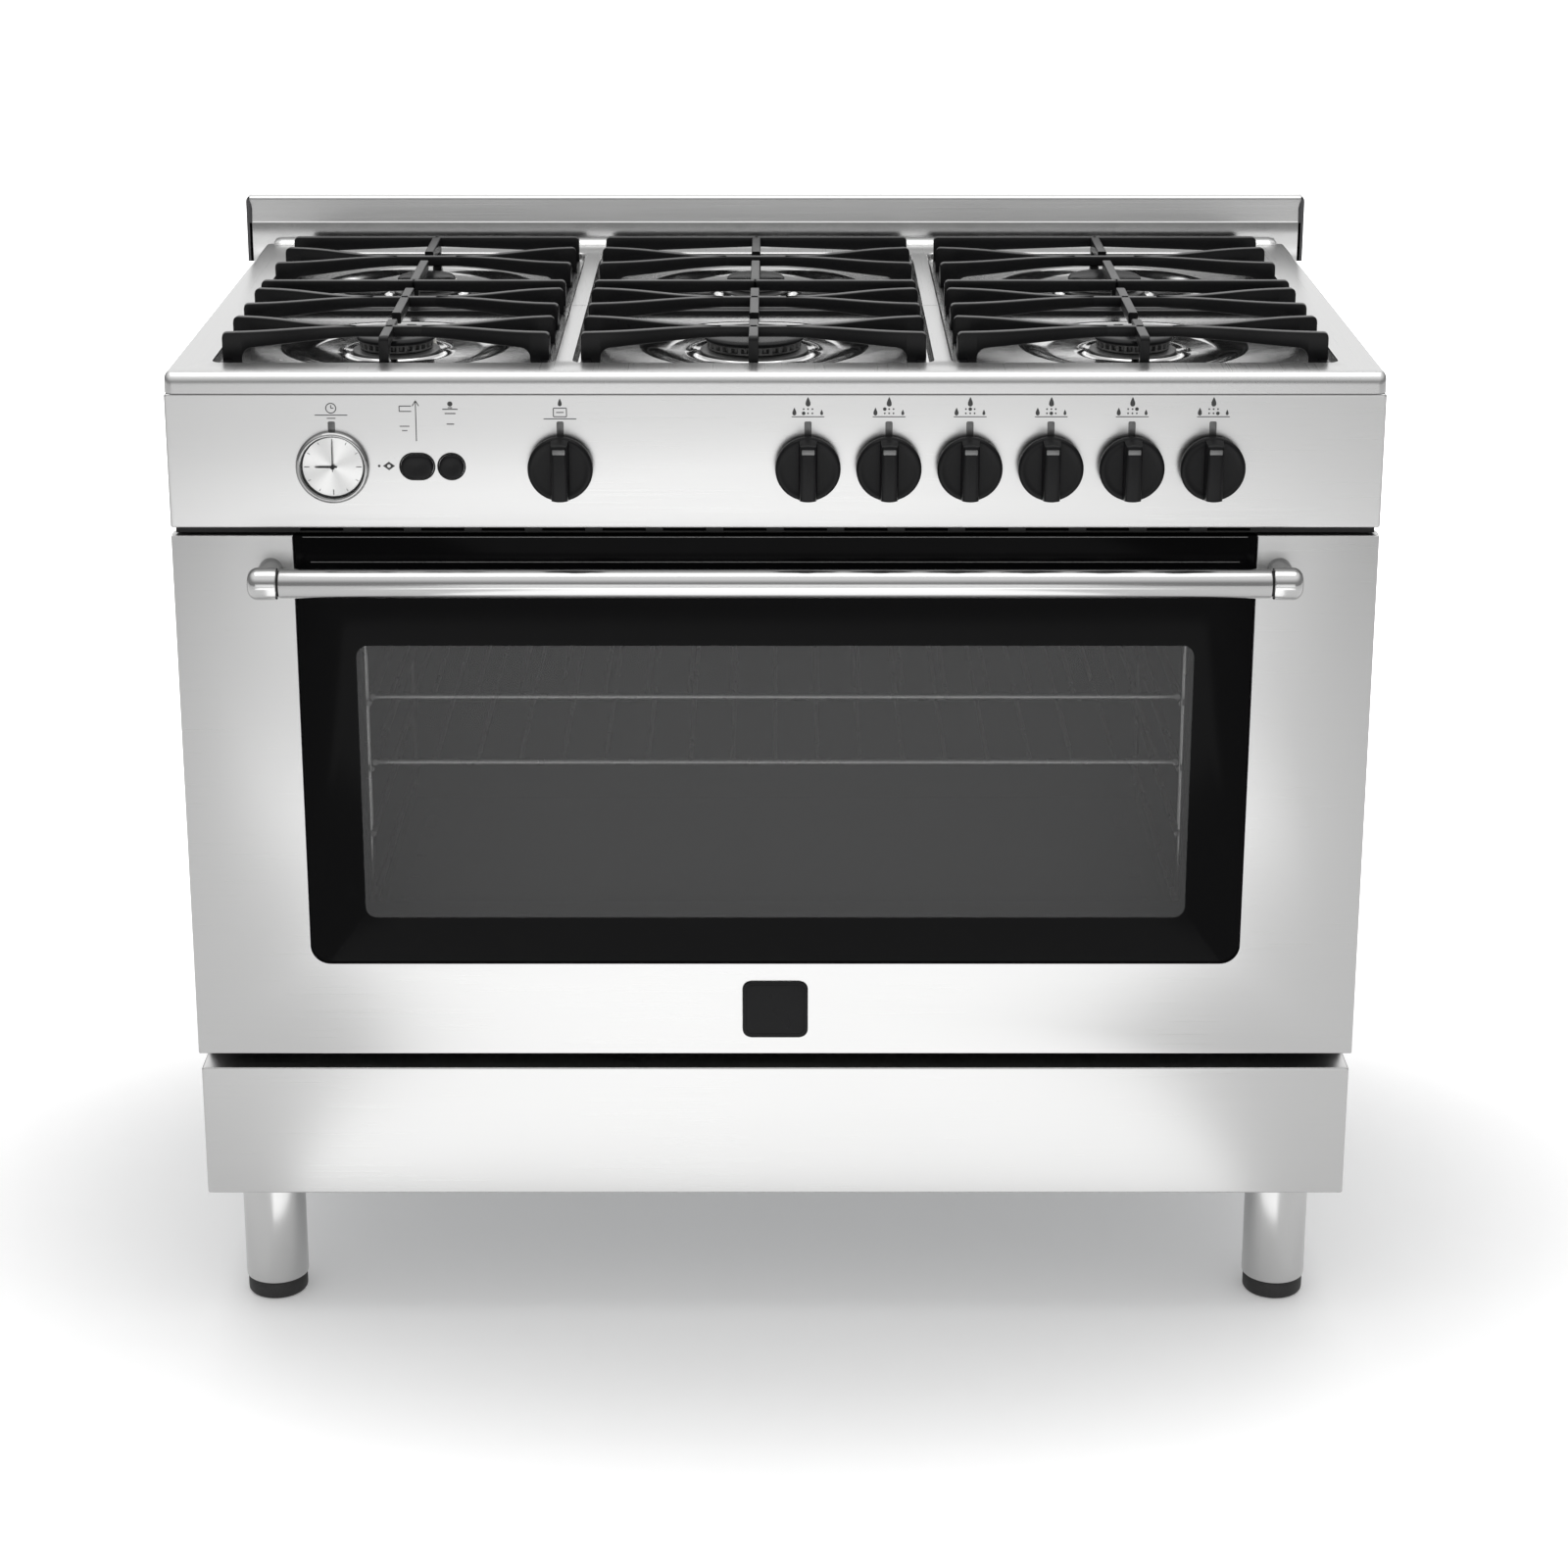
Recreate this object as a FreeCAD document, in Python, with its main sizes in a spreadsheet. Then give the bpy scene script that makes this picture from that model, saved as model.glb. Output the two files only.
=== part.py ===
"""Freestanding gas range, 1.12 m wide: six burners over one wide oven and a storage drawer.

Millimetres. +X is the user's right, the front faces -Y, +Z is up, and z = 0 is the floor. Every driving
dimension is a cell of the sheet "dims", and each sub-part's sizes are bound to those cells.
"""
import FreeCAD, Part
import math
import os

import Sketcher

DIMENSIONS = {
    # overall
    "body_width": 1118,
    "body_depth": 640,
    "handle_reach": 62,
    "guard_thick": 20,
    "sheet": 1.5,
    # heights above the floor
    "body_bottom": 134,
    "drawer_top": 268,
    "door_bottom": 283,
    "door_top": 804.5,
    "fascia_bottom": 812,
    "fascia_top": 938.6,
    "apron_bottom": 939,
    "cook_top": 958,
    "well_floor": 950,
    "dish_floor": 944,
    "guard_skirt": 880,
    "guard_top": 1010,
    # door
    "door_depth": 46,
    "door_skin": 18,
    "glass_thick": 4,
    "glass_half": 446,
    "glass_bottom": 377,
    "glass_corner": 19,
    "window_half": 392,
    "window_bottom": 424,
    "window_top": 697,
    "door_hinge_up": 8,
    "door_hinge_in": 14,
    "handle_up": 772,
    "handle_out": 47,
    "bar_radius": 13.5,
    "bar_half": 453,
    "elbow_radius": 15,
    "elbow_long": 26,
    # oven
    "oven_half": 400,
    "oven_floor_up": 326,
    "oven_roof": 755,
    "oven_deep": 460,
    "seal_gap": 4,
    "blanket": 20,
    "rack_upper_up": 620,
    "rack_lower_up": 553,
    "rack_pitch": 67,
    "rack_wire": 3,
    # cooktop
    "well_front": 45,
    "well_rear": 590,
    "well_side": 36,
    "divider_left": -196,
    "divider_right": 155.5,
    "divider_half": 7.5,
    "well_corner": 12,
    "grate_inset": 7,
    "grate_up": 22,
    "grate_split": 308,
    "grate_bar": 9,
    "neck_half": 34,
    "burner_front": 161,
    "burner_rear": 449,
    "burner_hole": 26,
    "dish_low": 66,
    "dish_high": 104,
    # controls
    "control_up": 870.5,
    "knob_first": 30,
    "knob_pitch": 74.2,
    "oven_knob_at": -197,
    "knob_radius": 30,
    "knob_long": 25,
    "knob_gap": 5,
    "knob_skirt": 9,
    "grip_width": 16,
    "stem_radius": 4,
    "clock_at": -406.5,
    "clock_radius": 34,
    "oval_at": -329,
    "round_at": -297.5,
    "button_radius": 11.5,
    # stance
    "leg_at": 502,
    "leg_radius": 31,
    "leg_front_in": 62,
    "leg_rear_in": 590,
    "foot_high": 17.5,
    "foot_radius": 29.5,
    # rear services
    "inlet_at": 430,
    "inlet_up": 700,
    "inlet_radius": 10.5,
    "power_at": 330,
    "bracket_half": 30,
    "bracket_up": 220,
}

doc = FreeCAD.newDocument("gas_range")
sheet = doc.addObject("Spreadsheet::Sheet", "dims")
for row, (alias, number) in enumerate(DIMENSIONS.items(), start=1):
    sheet.set("A%d" % row, alias)
    sheet.set("B%d" % row, str(number))
    sheet.setAlias("B%d" % row, alias)
doc.recompute()


class Size:
    """A length that keeps both its expression over the sheet's cells and its present value."""

    def __init__(self, text, value):
        self.text = text
        self.value = value

    def __add__(self, other):
        return self.joined("+", other, self.value + sized(other).value)

    def __sub__(self, other):
        return self.joined("-", other, self.value - sized(other).value)

    def __mul__(self, other):
        return self.joined("*", other, self.value * sized(other).value)

    def __truediv__(self, other):
        return self.joined("/", other, self.value / sized(other).value)

    def __neg__(self):
        return Size("(0 - %s)" % self.text, -self.value)

    def __radd__(self, other):
        return sized(other) + self

    def __rsub__(self, other):
        return sized(other) - self

    def __rmul__(self, other):
        return sized(other) * self

    def joined(self, sign, other, value):
        return Size("(%s %s %s)" % (self.text, sign, sized(other).text), value)


def sized(value):
    """A Size for a plain number, or the Size itself."""
    return value if isinstance(value, Size) else Size(repr(value), value)


def dim(alias):
    """The Size of one cell of the sheet."""
    return Size("dims.%s" % alias, float(DIMENSIONS[alias]))


SUBPARTS = []


def bind(item, **lengths):
    """Binds properties of an object to expressions over the sheet."""
    for name, length in lengths.items():
        item.setExpression(name, sized(length).text)
    return item


def place(item, x, y, z):
    """Binds where an object stands."""
    for axis, length in zip("xyz", (x, y, z)):
        item.setExpression("Placement.Base." + axis, sized(length).text)
    return item


def subpart(item, label):
    """Names a finished sub-part: its Label is its node and its file."""
    item.Label = label
    SUBPARTS.append(item)
    return item


def block(x, y, z):
    """A box between pairs of X, Y and Z."""
    box = doc.addObject("Part::Box", "Block")
    bind(box, Length=x[1] - x[0], Width=y[1] - y[0], Height=z[1] - z[0])
    return place(box, x[0], y[0], z[0])


TURNS = {
    "x": FreeCAD.Rotation(FreeCAD.Vector(0, 1, 0), 90),
    "y": FreeCAD.Rotation(FreeCAD.Vector(1, 0, 0), -90),
    "z": FreeCAD.Rotation(),
    "-y": FreeCAD.Rotation(FreeCAD.Vector(1, 0, 0), 90),
}


def rod(axis, radius, start, length, x=0, y=0, z=0):
    """A cylinder along one axis, from start along that axis; the other two coordinates place its axis."""
    cylinder = doc.addObject("Part::Cylinder", "Rod")
    cylinder.Placement = FreeCAD.Placement(FreeCAD.Vector(), TURNS[axis])
    bind(cylinder, Radius=radius, Height=length)
    at = {"x": x, "y": y, "z": z}
    at[axis] = start
    return place(cylinder, at["x"], at["y"], at["z"])


def funnel(low_radius, high_radius, low, high, x, y):
    """An upright cone frustum between two heights."""
    cone = doc.addObject("Part::Cone", "Funnel")
    bind(cone, Radius1=low_radius, Radius2=high_radius, Height=high - low)
    return place(cone, x, y, low)


def fused(*items):
    """One solid from several that meet."""
    if len(items) == 1:
        return items[0]
    whole = doc.addObject("Part::MultiFuse", "Fused")
    whole.Shapes = list(items)
    return whole


def gathered(*items):
    """Several separate solids as one object."""
    several = doc.addObject("Part::Compound", "Gathered")
    several.Links = list(items)
    return several


def cut(base, *tools):
    """The base with every tool taken out of it."""
    less = doc.addObject("Part::Cut", "Less")
    less.Base = base
    less.Tool = tools[0] if len(tools) == 1 else gathered(*tools)
    return less


def rounded(base, radius, chosen):
    """The base with the chosen edges rounded."""
    doc.recompute()
    round_over = doc.addObject("Part::Fillet", "Rounded")
    round_over.Base = base
    edges = enumerate(base.Shape.Edges, start=1)
    round_over.Edges = [(number, radius.value, radius.value) for number, edge in edges if chosen(edge)]
    return round_over


def runs(edge, axis):
    """Whether an edge is straight along one axis."""
    box = edge.BoundBox
    spans = {"x": box.XLength, "y": box.YLength, "z": box.ZLength}
    return spans.pop(axis) > 0.01 and max(spans.values()) < 0.01


def outline(body, plane, points):
    """A closed sketch on one of the body's own origin planes, each corner bound to the sheet."""
    sketch = body.newObject("Sketcher::SketchObject", "Outline")
    origin = next(item for item in body.Origin.OriginFeatures if item.Role == plane)
    sketch.AttachmentSupport = [(origin, "")]
    sketch.MapMode = "FlatFace"
    corners = [(sized(across), sized(up)) for across, up in points]
    vectors = [FreeCAD.Vector(across.value, up.value, 0) for across, up in corners]
    for number, start in enumerate(vectors):
        sketch.addGeometry(Part.LineSegment(start, vectors[(number + 1) % len(vectors)]), False)
    for number in range(len(vectors)):
        follower = (number + 1) % len(vectors)
        sketch.addConstraint(Sketcher.Constraint("Coincident", number, 2, follower, 1))
    for number, (across, up) in enumerate(corners):
        for kind, length in (("DistanceX", across), ("DistanceY", up)):
            made = sketch.addConstraint(Sketcher.Constraint(kind, -1, 1, number, 1, length.value))
            name = "corner_%d_%s" % (number, kind[-1].lower())
            sketch.renameConstraint(made, name)
            sketch.setExpression("Constraints." + name, length.text)
    return sketch


def turned(label, points, x=0, y=0, z=0, axis="z"):
    """A body of revolution: points are (radius, height) pairs about its own +Z, which is laid along axis."""
    body = doc.addObject("PartDesign::Body", label)
    sketch = outline(body, "XZ_Plane", points)
    spin = body.newObject("PartDesign::Revolution", "Spin")
    spin.Profile = sketch
    spin.ReferenceAxis = (sketch, ["V_Axis"])
    spin.Angle = 360
    body.Tip = spin
    body.Placement = FreeCAD.Placement(FreeCAD.Vector(), TURNS[axis])
    return place(body, x, y, z)


# Places that several sub-parts share.
half = dim("body_width") / 2
skin = dim("sheet")
face = dim("handle_reach") - (dim("body_depth") + dim("handle_reach") + dim("guard_thick")) / 2
guard_face = face + dim("body_depth")
guard_rear = guard_face + dim("guard_thick")
door_rear = face + dim("door_depth")
frame_face = door_rear + dim("seal_gap")
oven_rear = frame_face + dim("oven_deep")
glass_face = face + 2
knob_places = [dim("knob_first") + dim("knob_pitch") * number for number in range(6)]
KNOBS = {"oven_knob": dim("oven_knob_at")}
for order, knob_place in enumerate(knob_places, start=1):
    KNOBS["burner_knob_%d" % order] = knob_place
columns = {
    "left": (dim("well_side") - half, dim("divider_left") - dim("divider_half")),
    "centre": (dim("divider_left") + dim("divider_half"), dim("divider_right") - dim("divider_half")),
    "right": (dim("divider_right") + dim("divider_half"), half - dim("well_side")),
}
rows = {
    "front": (face + dim("well_front"), face + dim("grate_split")),
    "rear": (face + dim("grate_split"), face + dim("well_rear")),
}
CAP_RADII = {
    ("left", "front"): 38,
    ("left", "rear"): 30,
    ("centre", "front"): 48,
    ("centre", "rear"): 30,
    ("right", "front"): 38,
    ("right", "rear"): 38,
}


def burner_along(row):
    """How far back a row's burners stand."""
    return face + dim("burner_" + row)


def middle(pair):
    """The middle of a pair."""
    return (pair[0] + pair[1]) / 2


# ---------------------------------------------------------------- casing


def side_panel(side, label):
    """A side sheet with flanges turned in at its front and rear edges."""
    outer, inner = half * side, (half - skin) * side
    flange = (half - 22) * side
    low, high = sorted((outer, inner), key=lambda place_: place_.value)
    edge_low, edge_high = sorted((inner, flange), key=lambda place_: place_.value)
    rise = (dim("body_bottom"), dim("apron_bottom"))
    sheet_metal = block((low, high), (frame_face, guard_face), rise)
    front = block((edge_low, edge_high), (frame_face, frame_face + skin), (dim("fascia_bottom"), rise[1]))
    rear = block((edge_low, edge_high), (guard_face - skin, guard_face), rise)
    subpart(fused(sheet_metal, front, rear), label)


def back_panel():
    """The rear sheet with louvre slots, service holes and the anti-tip bracket's two holes."""
    edge = half - 22.5
    rise = (dim("body_bottom"), dim("apron_bottom"))
    plate = block((-edge, edge), (guard_face - skin, guard_face), rise)
    through = guard_face - 5
    tools = [
        rod("y", dim("inlet_radius") + 1, through, 10, x=dim("inlet_at"), z=dim("inlet_up")),
        rod("y", 8, through, 10, x=dim("power_at"), z=dim("inlet_up")),
    ]
    for side in (-1, 1):
        tools.append(rod("y", 3, through, 10, x=dim("bracket_half") * side, z=dim("bracket_up")))
    for level in range(5):
        low = dim("oven_roof") + 20 + 22 * level
        for column in range(-3, 3):
            start = sized(110.0 * column + 15)
            tools.append(block((start, start + 80), (through, through + 10), (low, low + 5)))
    subpart(cut(plate, *tools), "back_panel")


def base_pan():
    """The bottom sheet that the legs are bolted under, turned up at its front edge."""
    edge = half - skin
    floor = dim("body_bottom")
    plate = block((-edge, edge), (frame_face, guard_face - skin), (floor, floor + 2))
    lip = block((-edge, edge), (frame_face, frame_face + 2), (floor + 2, floor + 9))
    subpart(fused(plate, lip), "base_pan")


def legs():
    """Four round legs, each a tube closed by a threaded plug for its foot."""
    made = []
    for side in (-1, 1):
        for inset in ("leg_front_in", "leg_rear_in"):
            x, y = dim("leg_at") * side, face + dim(inset)
            low, high = dim("foot_high") + 0.5, dim("body_bottom")
            outside = rod("z", dim("leg_radius"), low, high - low, x=x, y=y)
            inside = rod("z", dim("leg_radius") - 2, low + 12, high - low - 15, x=x, y=y)
            thread = rod("z", 6.4, low - 1, 14, x=x, y=y)
            made.append(cut(outside, inside, thread))
    subpart(gathered(*made), "legs")


def foot(side, inset, label):
    """A levelling foot: a pad with a rounded rim under a screw that runs up into its leg."""
    radius, high = dim("foot_radius"), dim("foot_high")
    points = [
        (0, 0),
        (radius - 4, 0),
        (radius, 4),
        (radius, high),
        (6, high),
        (6, high + 60),
        (0, high + 60),
    ]
    subpart(turned(label, points, x=dim("leg_at") * side, y=face + dim(inset)), label)


# ---------------------------------------------------------------- oven


def oven_liner():
    """The enamelled cavity, open at the front, with a flange that reaches the side panels."""
    inner = dim("oven_half")
    floor, roof = dim("oven_floor_up"), dim("oven_roof")
    shell = block((-inner - skin, inner + skin), (frame_face, oven_rear + skin), (floor - skin, roof + skin))
    flange_low, flange_high = dim("drawer_top") + 14, dim("fascia_bottom") - 1
    flange_wide = half - skin
    flange = block((-flange_wide, flange_wide), (frame_face, frame_face + skin), (flange_low, flange_high))
    cavity = block((-inner, inner), (frame_face - 1, oven_rear), (floor, roof))
    subpart(cut(fused(shell, flange), cavity), "oven_liner")


def oven_insulation():
    """The fibre blanket round the liner, on every side but the front."""
    gap = skin + 0.4
    inner = dim("oven_half") + gap
    floor, roof = dim("oven_floor_up") - gap, dim("oven_roof") + gap
    thick = dim("blanket")
    front, rear = frame_face + 4, oven_rear + gap
    outside = block((-inner - thick, inner + thick), (front, rear + thick), (floor - thick, roof + thick))
    inside = block((-inner, inner), (front - 1, rear), (floor, roof))
    subpart(cut(outside, inside), "oven_insulation")


def door_gasket():
    """The woven seal round the mouth of the cavity."""
    inner = dim("oven_half") + 10
    floor, roof = dim("oven_floor_up") + 6, dim("oven_roof") + 10
    wide = 12
    depth = (frame_face - 3.6, frame_face)
    outside = block((-inner - wide, inner + wide), depth, (floor - wide - 16, roof + wide))
    hole_depth = (frame_face - 10, frame_face + 10)
    inside = block((-inner, inner), hole_depth, (floor - 16, roof))
    subpart(cut(outside, inside), "door_gasket")


def rack_guides():
    """A wire ladder on each side wall, with five levels of paired rails."""
    made = []
    for side in (-1, 1):
        wire = dim("rack_wire")
        x = (dim("oven_half") - wire - 2) * side
        low = dim("rack_lower_up") - dim("rack_pitch") * 2 - 30
        front, deep = frame_face + 30, dim("oven_deep") - 60
        parts = []
        for along in (front + 6, front + deep - 6):
            parts.append(rod("z", wire, low, dim("rack_pitch") * 4 + 60, x=x, y=along))
        for level in range(-2, 3):
            up = dim("rack_lower_up") - wire * 2 + dim("rack_pitch") * level
            parts.append(rod("y", wire, front, deep, x=x - 3 * side, z=up))
        made.append(fused(*parts))
    subpart(gathered(*made), "rack_guides")


def oven_rack(height, label):
    """A wire shelf: a rectangular rim, a front and rear cross wire and wires from front to rear."""
    wire = dim("rack_wire")
    edge = dim("oven_half") - 9
    front, rear = frame_face + 32, oven_rear - 32
    parts = []
    for side in (-1, 1):
        parts.append(rod("y", wire, front, rear - front, x=edge * side - wire * side, z=height))
    for along in (front + wire, middle((front, rear)), rear - wire):
        parts.append(rod("x", wire, wire - edge, (edge - wire) * 2, y=along, z=height))
    spacing = (edge - 20) * 2 / 18
    for number in range(19):
        x = spacing * number - (edge - 20)
        parts.append(rod("y", wire - 1, front + wire, rear - front - wire * 2, x=x, z=height + 1))
    subpart(fused(*parts), label)


def oven_floor():
    """The lift-out floor plate over the oven's burner, with slots at both ends for the hot gas."""
    up = dim("oven_floor_up") + 34
    edge = dim("oven_half") - 2
    rear = oven_rear - 2
    plate = block((-edge, edge), (frame_face + 2, rear), (up, up + skin))
    supports = [
        block((-edge, edge), (frame_face + 2, frame_face + 4), (dim("oven_floor_up"), up)),
        block((-edge, edge), (rear - 2, rear), (dim("oven_floor_up"), up)),
    ]
    slots = [block((-16, 16), (rear - 3, rear + 1), (dim("oven_floor_up") - 1, up - 1))]
    for side in (-1, 1):
        for number in range(6):
            start = frame_face + 60 + 60 * number
            near, far = (edge - 30) * side, (edge - 18) * side
            across = (near, far) if side > 0 else (far, near)
            slots.append(block(across, (start, start + 40), (up - 1, up + 4)))
    subpart(cut(fused(plate, *supports), *slots), "oven_floor")


def oven_burner():
    """The oven's tube burner: a loop of pipe under the floor plate, fed from the rear."""
    up = dim("oven_floor_up") + 18
    front, rear = frame_face + 90, oven_rear - 70
    reach = dim("oven_half") - 120
    radius = 10
    pipes = [
        rod("x", radius, -reach - radius, (reach + radius) * 2, y=front, z=up),
        rod("x", radius, -reach - radius, (reach + radius) * 2, y=rear, z=up),
        rod("y", radius, front, rear - front, x=-reach, z=up),
        rod("y", radius, front, rear - front, x=reach, z=up),
        rod("y", radius, rear, oven_rear - rear, x=0, z=up),
    ]
    subpart(fused(*pipes), "oven_burner")


# ---------------------------------------------------------------- cooktop


def cooktop():
    """The pressed top: a hollow sheet with a rolled front edge and three sunk wells with burner holes."""
    top, low, floor = dim("cook_top"), dim("apron_bottom"), dim("well_floor")
    slab = block((-half, half), (face, guard_face), (low, top))

    def front_edge(edge):
        box = edge.BoundBox
        return runs(edge, "x") and box.ZMin > top.value - 0.1 and box.YMax < face.value + 0.1

    def end_edge(edge):
        return runs(edge, "y") and edge.BoundBox.ZMin > top.value - 0.1

    rolled = rounded(rounded(slab, sized(11), front_edge), sized(4), end_edge)
    inset = skin * 3
    hollow = block((inset - half, half - inset), (face + inset, guard_face - inset), (low - 1, top - skin * 2))
    pans, wells, holes = [], [], []
    dish = dim("dish_floor")
    along = (rows["front"][0], rows["rear"][1])
    for across in columns.values():
        outer = (across[0] - skin, across[1] + skin)
        pans.append(block(outer, (along[0] - skin, along[1] + skin), (floor - skin, top - skin * 2)))
        well = block(across, along, (floor, top + 1))
        wells.append(rounded(well, dim("well_corner"), lambda edge: runs(edge, "z")))
        for row in rows:
            x, y = middle(across), burner_along(row)
            wells.append(funnel(dim("dish_low"), dim("dish_high"), dish, floor, x, y))
            rims = (dim("dish_low") + skin, dim("dish_high") + skin)
            pans.append(funnel(rims[0], rims[1], dish - skin, floor - skin / 2, x, y))
            holes.append(rod("z", dim("burner_hole"), dish - 5, 10, x=x, y=y))
    shell = cut(rolled, hollow)
    subpart(cut(fused(shell, *pans), *wells, *holes), "cooktop")


def backguard():
    """The upstand behind the cooktop: a skirt on the back of the body under a folded, wider guard."""
    wide = half + 20
    wall = skin * 2
    low, high = dim("apron_bottom"), dim("guard_top")
    skirt = block((22 - half, half - 22), (guard_face, guard_face + wall), (dim("guard_skirt"), low))
    guard = block((-wide, wide), (guard_face, guard_rear), (low, high))
    hollow = block((wall - wide, wide - wall), (guard_face + wall, guard_rear + 1), (low + wall, high - wall))

    def top_edge(edge):
        box = edge.BoundBox
        return runs(edge, "x") and box.ZMin > high.value - 0.1

    subpart(cut(fused(skirt, rounded(guard, sized(2.5), top_edge)), hollow), "backguard")


def burners():
    """Six gas burners: each a cast base in its well's hole, with an enamelled cap resting on it."""
    bases, caps = [], []
    floor = dim("dish_floor")
    for (column, row), radius in CAP_RADII.items():
        x, y = middle(columns[column]), burner_along(row)
        neck = dim("burner_hole") - 1
        base = [
            (0, -20),
            (neck, -20),
            (neck, 0),
            (radius + 4, 0),
            (radius + 4, 3),
            (radius - 4, 12),
            (0, 12),
        ]
        cap = [
            (0, 12),
            (radius, 12),
            (radius, 15),
            (radius - 4, 18),
            (0, 18),
        ]
        bases.append(turned("Burner_base", base, x=x, y=y, z=floor))
        caps.append(turned("Burner_cap", cap, x=x, y=y, z=floor))
    subpart(gathered(*bases), "burner_bases")
    subpart(gathered(*caps), "burner_caps")


def arm(start, end, thick, low, high):
    """A straight bar on edge between two points of the plan."""
    run = math.hypot(end[0].value - start[0].value, end[1].value - start[1].value)
    bar = doc.addObject("Part::Box", "Arm")
    bar.Length = run
    bind(bar, Width=thick, Height=high - low)
    angle = math.atan2(end[1].value - start[1].value, end[0].value - start[0].value)
    turn = FreeCAD.Rotation(FreeCAD.Vector(0, 0, 1), math.degrees(angle))
    bar.Placement = FreeCAD.Placement(FreeCAD.Vector(), turn)
    back = thick / 2
    x = start[0] + back * math.sin(angle)
    y = start[1] - back * math.cos(angle)
    return place(bar, x, y, low)


# Shares of a grate's depth from its front: legs at both ends, bars that run straight across, pairs of bars
# that meet in a neck, fingers along the middle, and the posts that carry the fingers.
GRATE_PLANS = {
    "front": {
        "legs": (0.10, 0.39, 0.62, 0.92),
        "straight": (),
        "crosses": ((0, 1, 0.21), (2, 3, 0.75)),
        "fingers": ((0.02, 0.33), (0.45, 0.92)),
        "posts": (0.035,),
    },
    "rear": {
        "legs": (0.06, 0.40, 0.71, 0.93),
        "straight": (0, 3),
        "crosses": ((1, 2, 0.53),),
        "fingers": ((0.06, 0.44), (0.62, 0.93)),
        "posts": (0.06, 0.93),
    },
}


def grate(column, row):
    """A cast pan support: a base frame in the well, four cross bars on legs, and fingers round the burner."""
    thick = dim("grate_bar")
    inset = dim("grate_inset")
    x = (columns[column][0] + inset, columns[column][1] - inset)
    y = (rows[row][0] + inset, rows[row][1] - inset)
    if row == "front":
        y = (y[0], y[1] + inset - 1.5)
    else:
        y = (y[0] - inset + 1.5, y[1])
    low, high = dim("well_floor") + 0.4, dim("cook_top") + dim("grate_up")
    under = high - 14
    base_top = low + 5
    parts = [
        block((x[0], x[1]), (y[0], y[0] + thick), (low, base_top)),
        block((x[0], x[1]), (y[1] - thick, y[1]), (low, base_top)),
        block((x[0], x[0] + thick), y, (low, base_top)),
        block((x[1] - thick, x[1]), y, (low, base_top)),
    ]
    centre = middle(x)
    wall = (x[0] + thick, x[1] - thick)
    plan = GRATE_PLANS[row]
    levels = [y[0] + (y[1] - y[0]) * share for share in plan["legs"]]
    for level in levels:
        bar_y = (level - thick / 2, level + thick / 2)
        for leg in ((x[0], wall[0] + thick), (wall[1] - thick, x[1])):
            parts.append(block(leg, bar_y, (low, high)))
    for number in plan["straight"]:
        level = levels[number]
        parts.append(block((x[0], x[1]), (level - thick / 2, level + thick / 2), (under, high)))
    for first, second, share in plan["crosses"]:
        neck = y[0] + (y[1] - y[0]) * share
        reach = dim("neck_half")
        parts.append(block((centre - reach, centre + reach), (neck - thick / 2, neck + thick / 2), (under, high)))
        for level in (levels[first], levels[second]):
            parts.append(arm((wall[0], level), (centre - reach, neck), thick, under, high))
            parts.append(arm((centre + reach, neck), (wall[1], level), thick, under, high))
    for shares in plan["fingers"]:
        along = [y[0] + (y[1] - y[0]) * share for share in shares]
        across = (centre - thick / 2, centre + thick / 2)
        parts.append(block(across, (along[0], along[1]), (under, high)))
    for share in plan["posts"]:
        post = y[0] + (y[1] - y[0]) * share
        across = (centre - thick / 2, centre + thick / 2)
        parts.append(block(across, (post - thick / 2, post + thick / 2), (low, high)))
    subpart(fused(*parts), "grate_%s_%s" % (column, row))


# ---------------------------------------------------------------- controls


def control_panel():
    """The fascia: a shallow steel tray, open at the rear, with holes for the stems, clock and buttons."""
    low, high = dim("fascia_bottom"), dim("fascia_top")
    tray = block((-half, half), (face, frame_face), (low, high))
    inside = block((skin - half, half - skin), (face + skin, frame_face + 1), (low + skin, high - skin))
    up = dim("control_up")
    tools = [inside, rod("y", dim("clock_radius") - 3, face - 1, 5, x=dim("clock_at"), z=up)]
    for place_ in KNOBS.values():
        tools.append(rod("y", dim("stem_radius") + 1.5, face - 1, 5, x=place_, z=up))
    tools.append(rod("y", dim("button_radius") + 0.5, face - 1, 5, x=dim("round_at"), z=up))
    tools.append(capsule(dim("button_radius") + 0.5, face - 1, 5))
    subpart(cut(tray, *tools), "control_panel")


def capsule(radius, start, depth):
    """The long rounded plan of the oval button, as a solid from start along +Y."""
    shift = 3.5
    up = dim("control_up")
    ends = [rod("y", radius, start, depth, x=dim("oval_at") + shift * side, z=up) for side in (-1, 1)]
    across = (dim("oval_at") - shift, dim("oval_at") + shift)
    start = sized(start)
    return fused(*ends, block(across, (start, start + depth), (up - radius, up + radius)))


def buttons():
    """The oval and the round push button, each on a plunger behind the fascia."""
    up, radius = dim("control_up"), dim("button_radius")
    subpart(capsule(radius, face - 4, 12), "oval_button")
    subpart(rod("y", radius, face - 4, 12, x=dim("round_at"), z=up), "round_button")


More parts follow.
